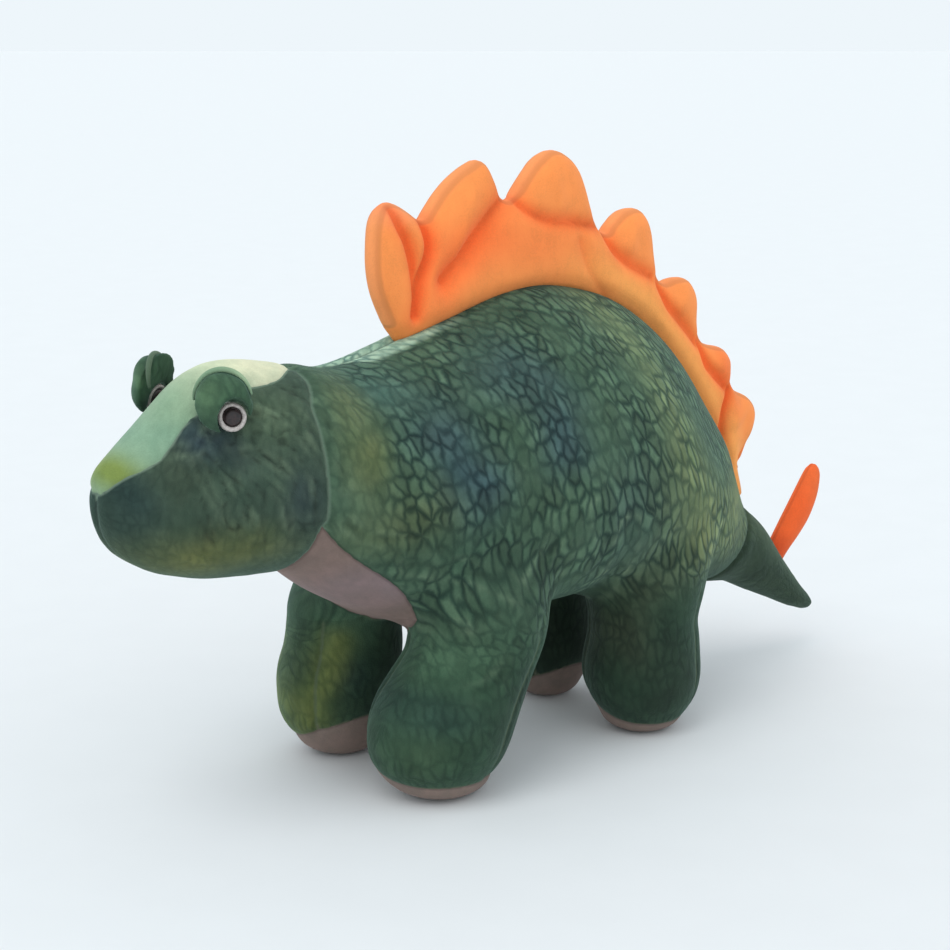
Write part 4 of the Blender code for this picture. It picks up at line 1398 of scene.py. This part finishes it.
def turned(name, profile, centre, way, material, around=56):
    """A turned piece: radius and height along a way from a centre."""
    side = np.cross(way, [0, 0, 1.0])
    side /= np.linalg.norm(side)
    up = np.cross(side, way)
    turn = np.linspace(0, 2 * math.pi, around, endpoint=False)
    points = [centre + way * h + r * (side * math.cos(t) + up * math.sin(t))
              for r, h in profile for t in turn]
    faces = ring_faces(len(profile), around)
    if profile[0][0] > 0.5:        # a ring closes on itself
        last = (len(profile) - 1) * around
        faces += [(last + i, last + (i + 1) % around, (i + 1) % around, i) for i in range(around)]
    obj = new_object(name, np.array(points), faces)
    reworked(obj, lambda bm: bmesh.ops.remove_doubles(bm, verts=bm.verts, dist=0.005 * MM))
    obj.data.materials.append(material)
    return obj


def plastic(name, colour, deep, rough, coat):
    n = Nodes(name)
    where = n.add("ShaderNodeTexCoord").outputs["Object"]
    cloud = n.noise(where, 900.0, 3, 0.6)
    shade = n.mix(n.ramp(cloud, 0.35, 0.65), rgba(deep), rgba(colour))
    scuff = n.noise(where, 4000.0, 2, 0.5)
    normal = n.bump(scuff, 0.06, 0.1 * MM)
    return n.finish(shade, normal, n.ramp(scuff, 0.3, 0.7, rough * 0.8, rough * 1.3), Coat_Weight=coat,
                    Coat_Roughness=0.04, Specular_IOR_Level=0.5)


def make_eyes():
    dark = plastic("eye_dark", srgb(46, 28, 28), srgb(22, 14, 15), 0.42, 0.15)
    pale = plastic("eye_pale", srgb(196, 188, 182), srgb(168, 158, 154), 0.38, 0.3)
    steel = plastic("washer", srgb(214, 214, 210), srgb(196, 196, 192), 0.4, 0.1)
    dome = [(0.01, -1.5), (2.0, -1.5), (3.4, -0.6), (3.6, 0.3), (3.55, 0.9), (3.3, 1.5), (2.85, 2.0),
            (2.2, 2.4), (1.4, 2.65), (0.7, 2.75), (0.01, 2.78)]
    ring = [(3.65, -0.2), (3.65, 1.2), (3.9, 1.75), (4.35, 1.9), (4.85, 1.75), (5.25, 1.3), (5.4, 0.7),
            (5.35, 0.0), (5.1, -0.6), (4.4, -0.8)]
    for word, side in SIDES:
        way = mirrored(EYE_WAY, side)
        centre = mirrored(EYE_AT, side) + way * (EYE_OUT - 0.8)
        pupil = turned("eye_pupil_dome_" + word, dome, centre, way, dark)
        fasten(pupil, "eye_pupil_" + word)
        iris = turned("eye_ring_disc_" + word, ring, centre, way, pale)
        fasten(iris, "eye_ring_" + word)
        washer = frame["nodes"]["eye_washer_" + word]
        washer.data.materials.clear()
        washer.data.materials.append(steel)


# ------------------------------------------------------------------ the set
AZIMUTH, ELEVATION = -40.635, 12.829       # where the camera stands, round from -Y and up
LENS = 75.8
CAMERA_AT = (-479.0, -621.5, 305.1)
FLOOR = np.array([0.808, 0.822, 0.829])
SKY, SKY_POWER = srgb(238, 246, 251), 1.0
# Name, azimuth and elevation it shines from, power, width
SUNS = [("key", -75, 62, 0.7, 35), ("fill", -20, 35, 0.2, 60)]


def way_to(azimuth, elevation):
    """The way from the toy to an azimuth, round from -Y, and an elevation."""
    a, e = math.radians(azimuth), math.radians(elevation)
    return Vector((math.sin(a) * math.cos(e), -math.cos(a) * math.cos(e), math.sin(e)))


def make_set():
    data = bpy.data.cameras.new("camera")
    data.lens, data.sensor_width = LENS, 36
    data.clip_end = 20
    camera = linked("camera", data)
    camera.location = to_frame(np.array(CAMERA_AT))
    camera.rotation_mode = "QUATERNION"
    camera.rotation_quaternion = (-way_to(AZIMUTH, ELEVATION)).to_track_quat("-Z", "Y")
    bpy.context.scene.camera = camera

    mesh = bpy.data.meshes.new("floor")
    bm = bmesh.new()
    bmesh.ops.create_grid(bm, x_segments=8, y_segments=8, size=40)
    bm.to_mesh(mesh)
    bm.free()
    floor = linked("floor", mesh)
    floor.location.z = CAD_BOX[0].z - 0.2 * MM
    n = Nodes("floor")
    where = n.add("ShaderNodeTexCoord").outputs["Object"]
    grain = n.noise(where, 30.0, 3, 0.5)
    shade = n.mix(n.ramp(grain, 0.3, 0.7), rgba(FLOOR * 0.99), rgba(FLOOR))
    n.finish(shade, n.bump(grain, 0.02, MM), n.ramp(grain, 0.3, 0.7, 0.75, 0.85), Specular_IOR_Level=0.1)
    mesh.materials.append(n.material)
    floor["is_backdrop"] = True

    bpy.context.scene.view_settings.view_transform = "Standard"
    world = bpy.data.worlds.new("studio")
    bpy.context.scene.world = world
    world.use_nodes = True
    sky = world.node_tree.nodes["Background"]
    sky.inputs["Color"].default_value = rgba(SKY)
    sky.inputs["Strength"].default_value = SKY_POWER
    for name, azimuth, elevation, power, angle in SUNS:
        light = bpy.data.lights.new(name, "SUN")
        light.energy, light.angle = power, math.radians(angle)
        lamp = linked(name, light)
        lamp.rotation_mode = "QUATERNION"
        lamp.rotation_quaternion = way_to(azimuth, elevation).to_track_quat("Z", "Y")


make_set()
make_body(whole_skin())
make_crest()
make_spike()
make_brows()
make_eyes()

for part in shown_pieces():
    part.data.update()
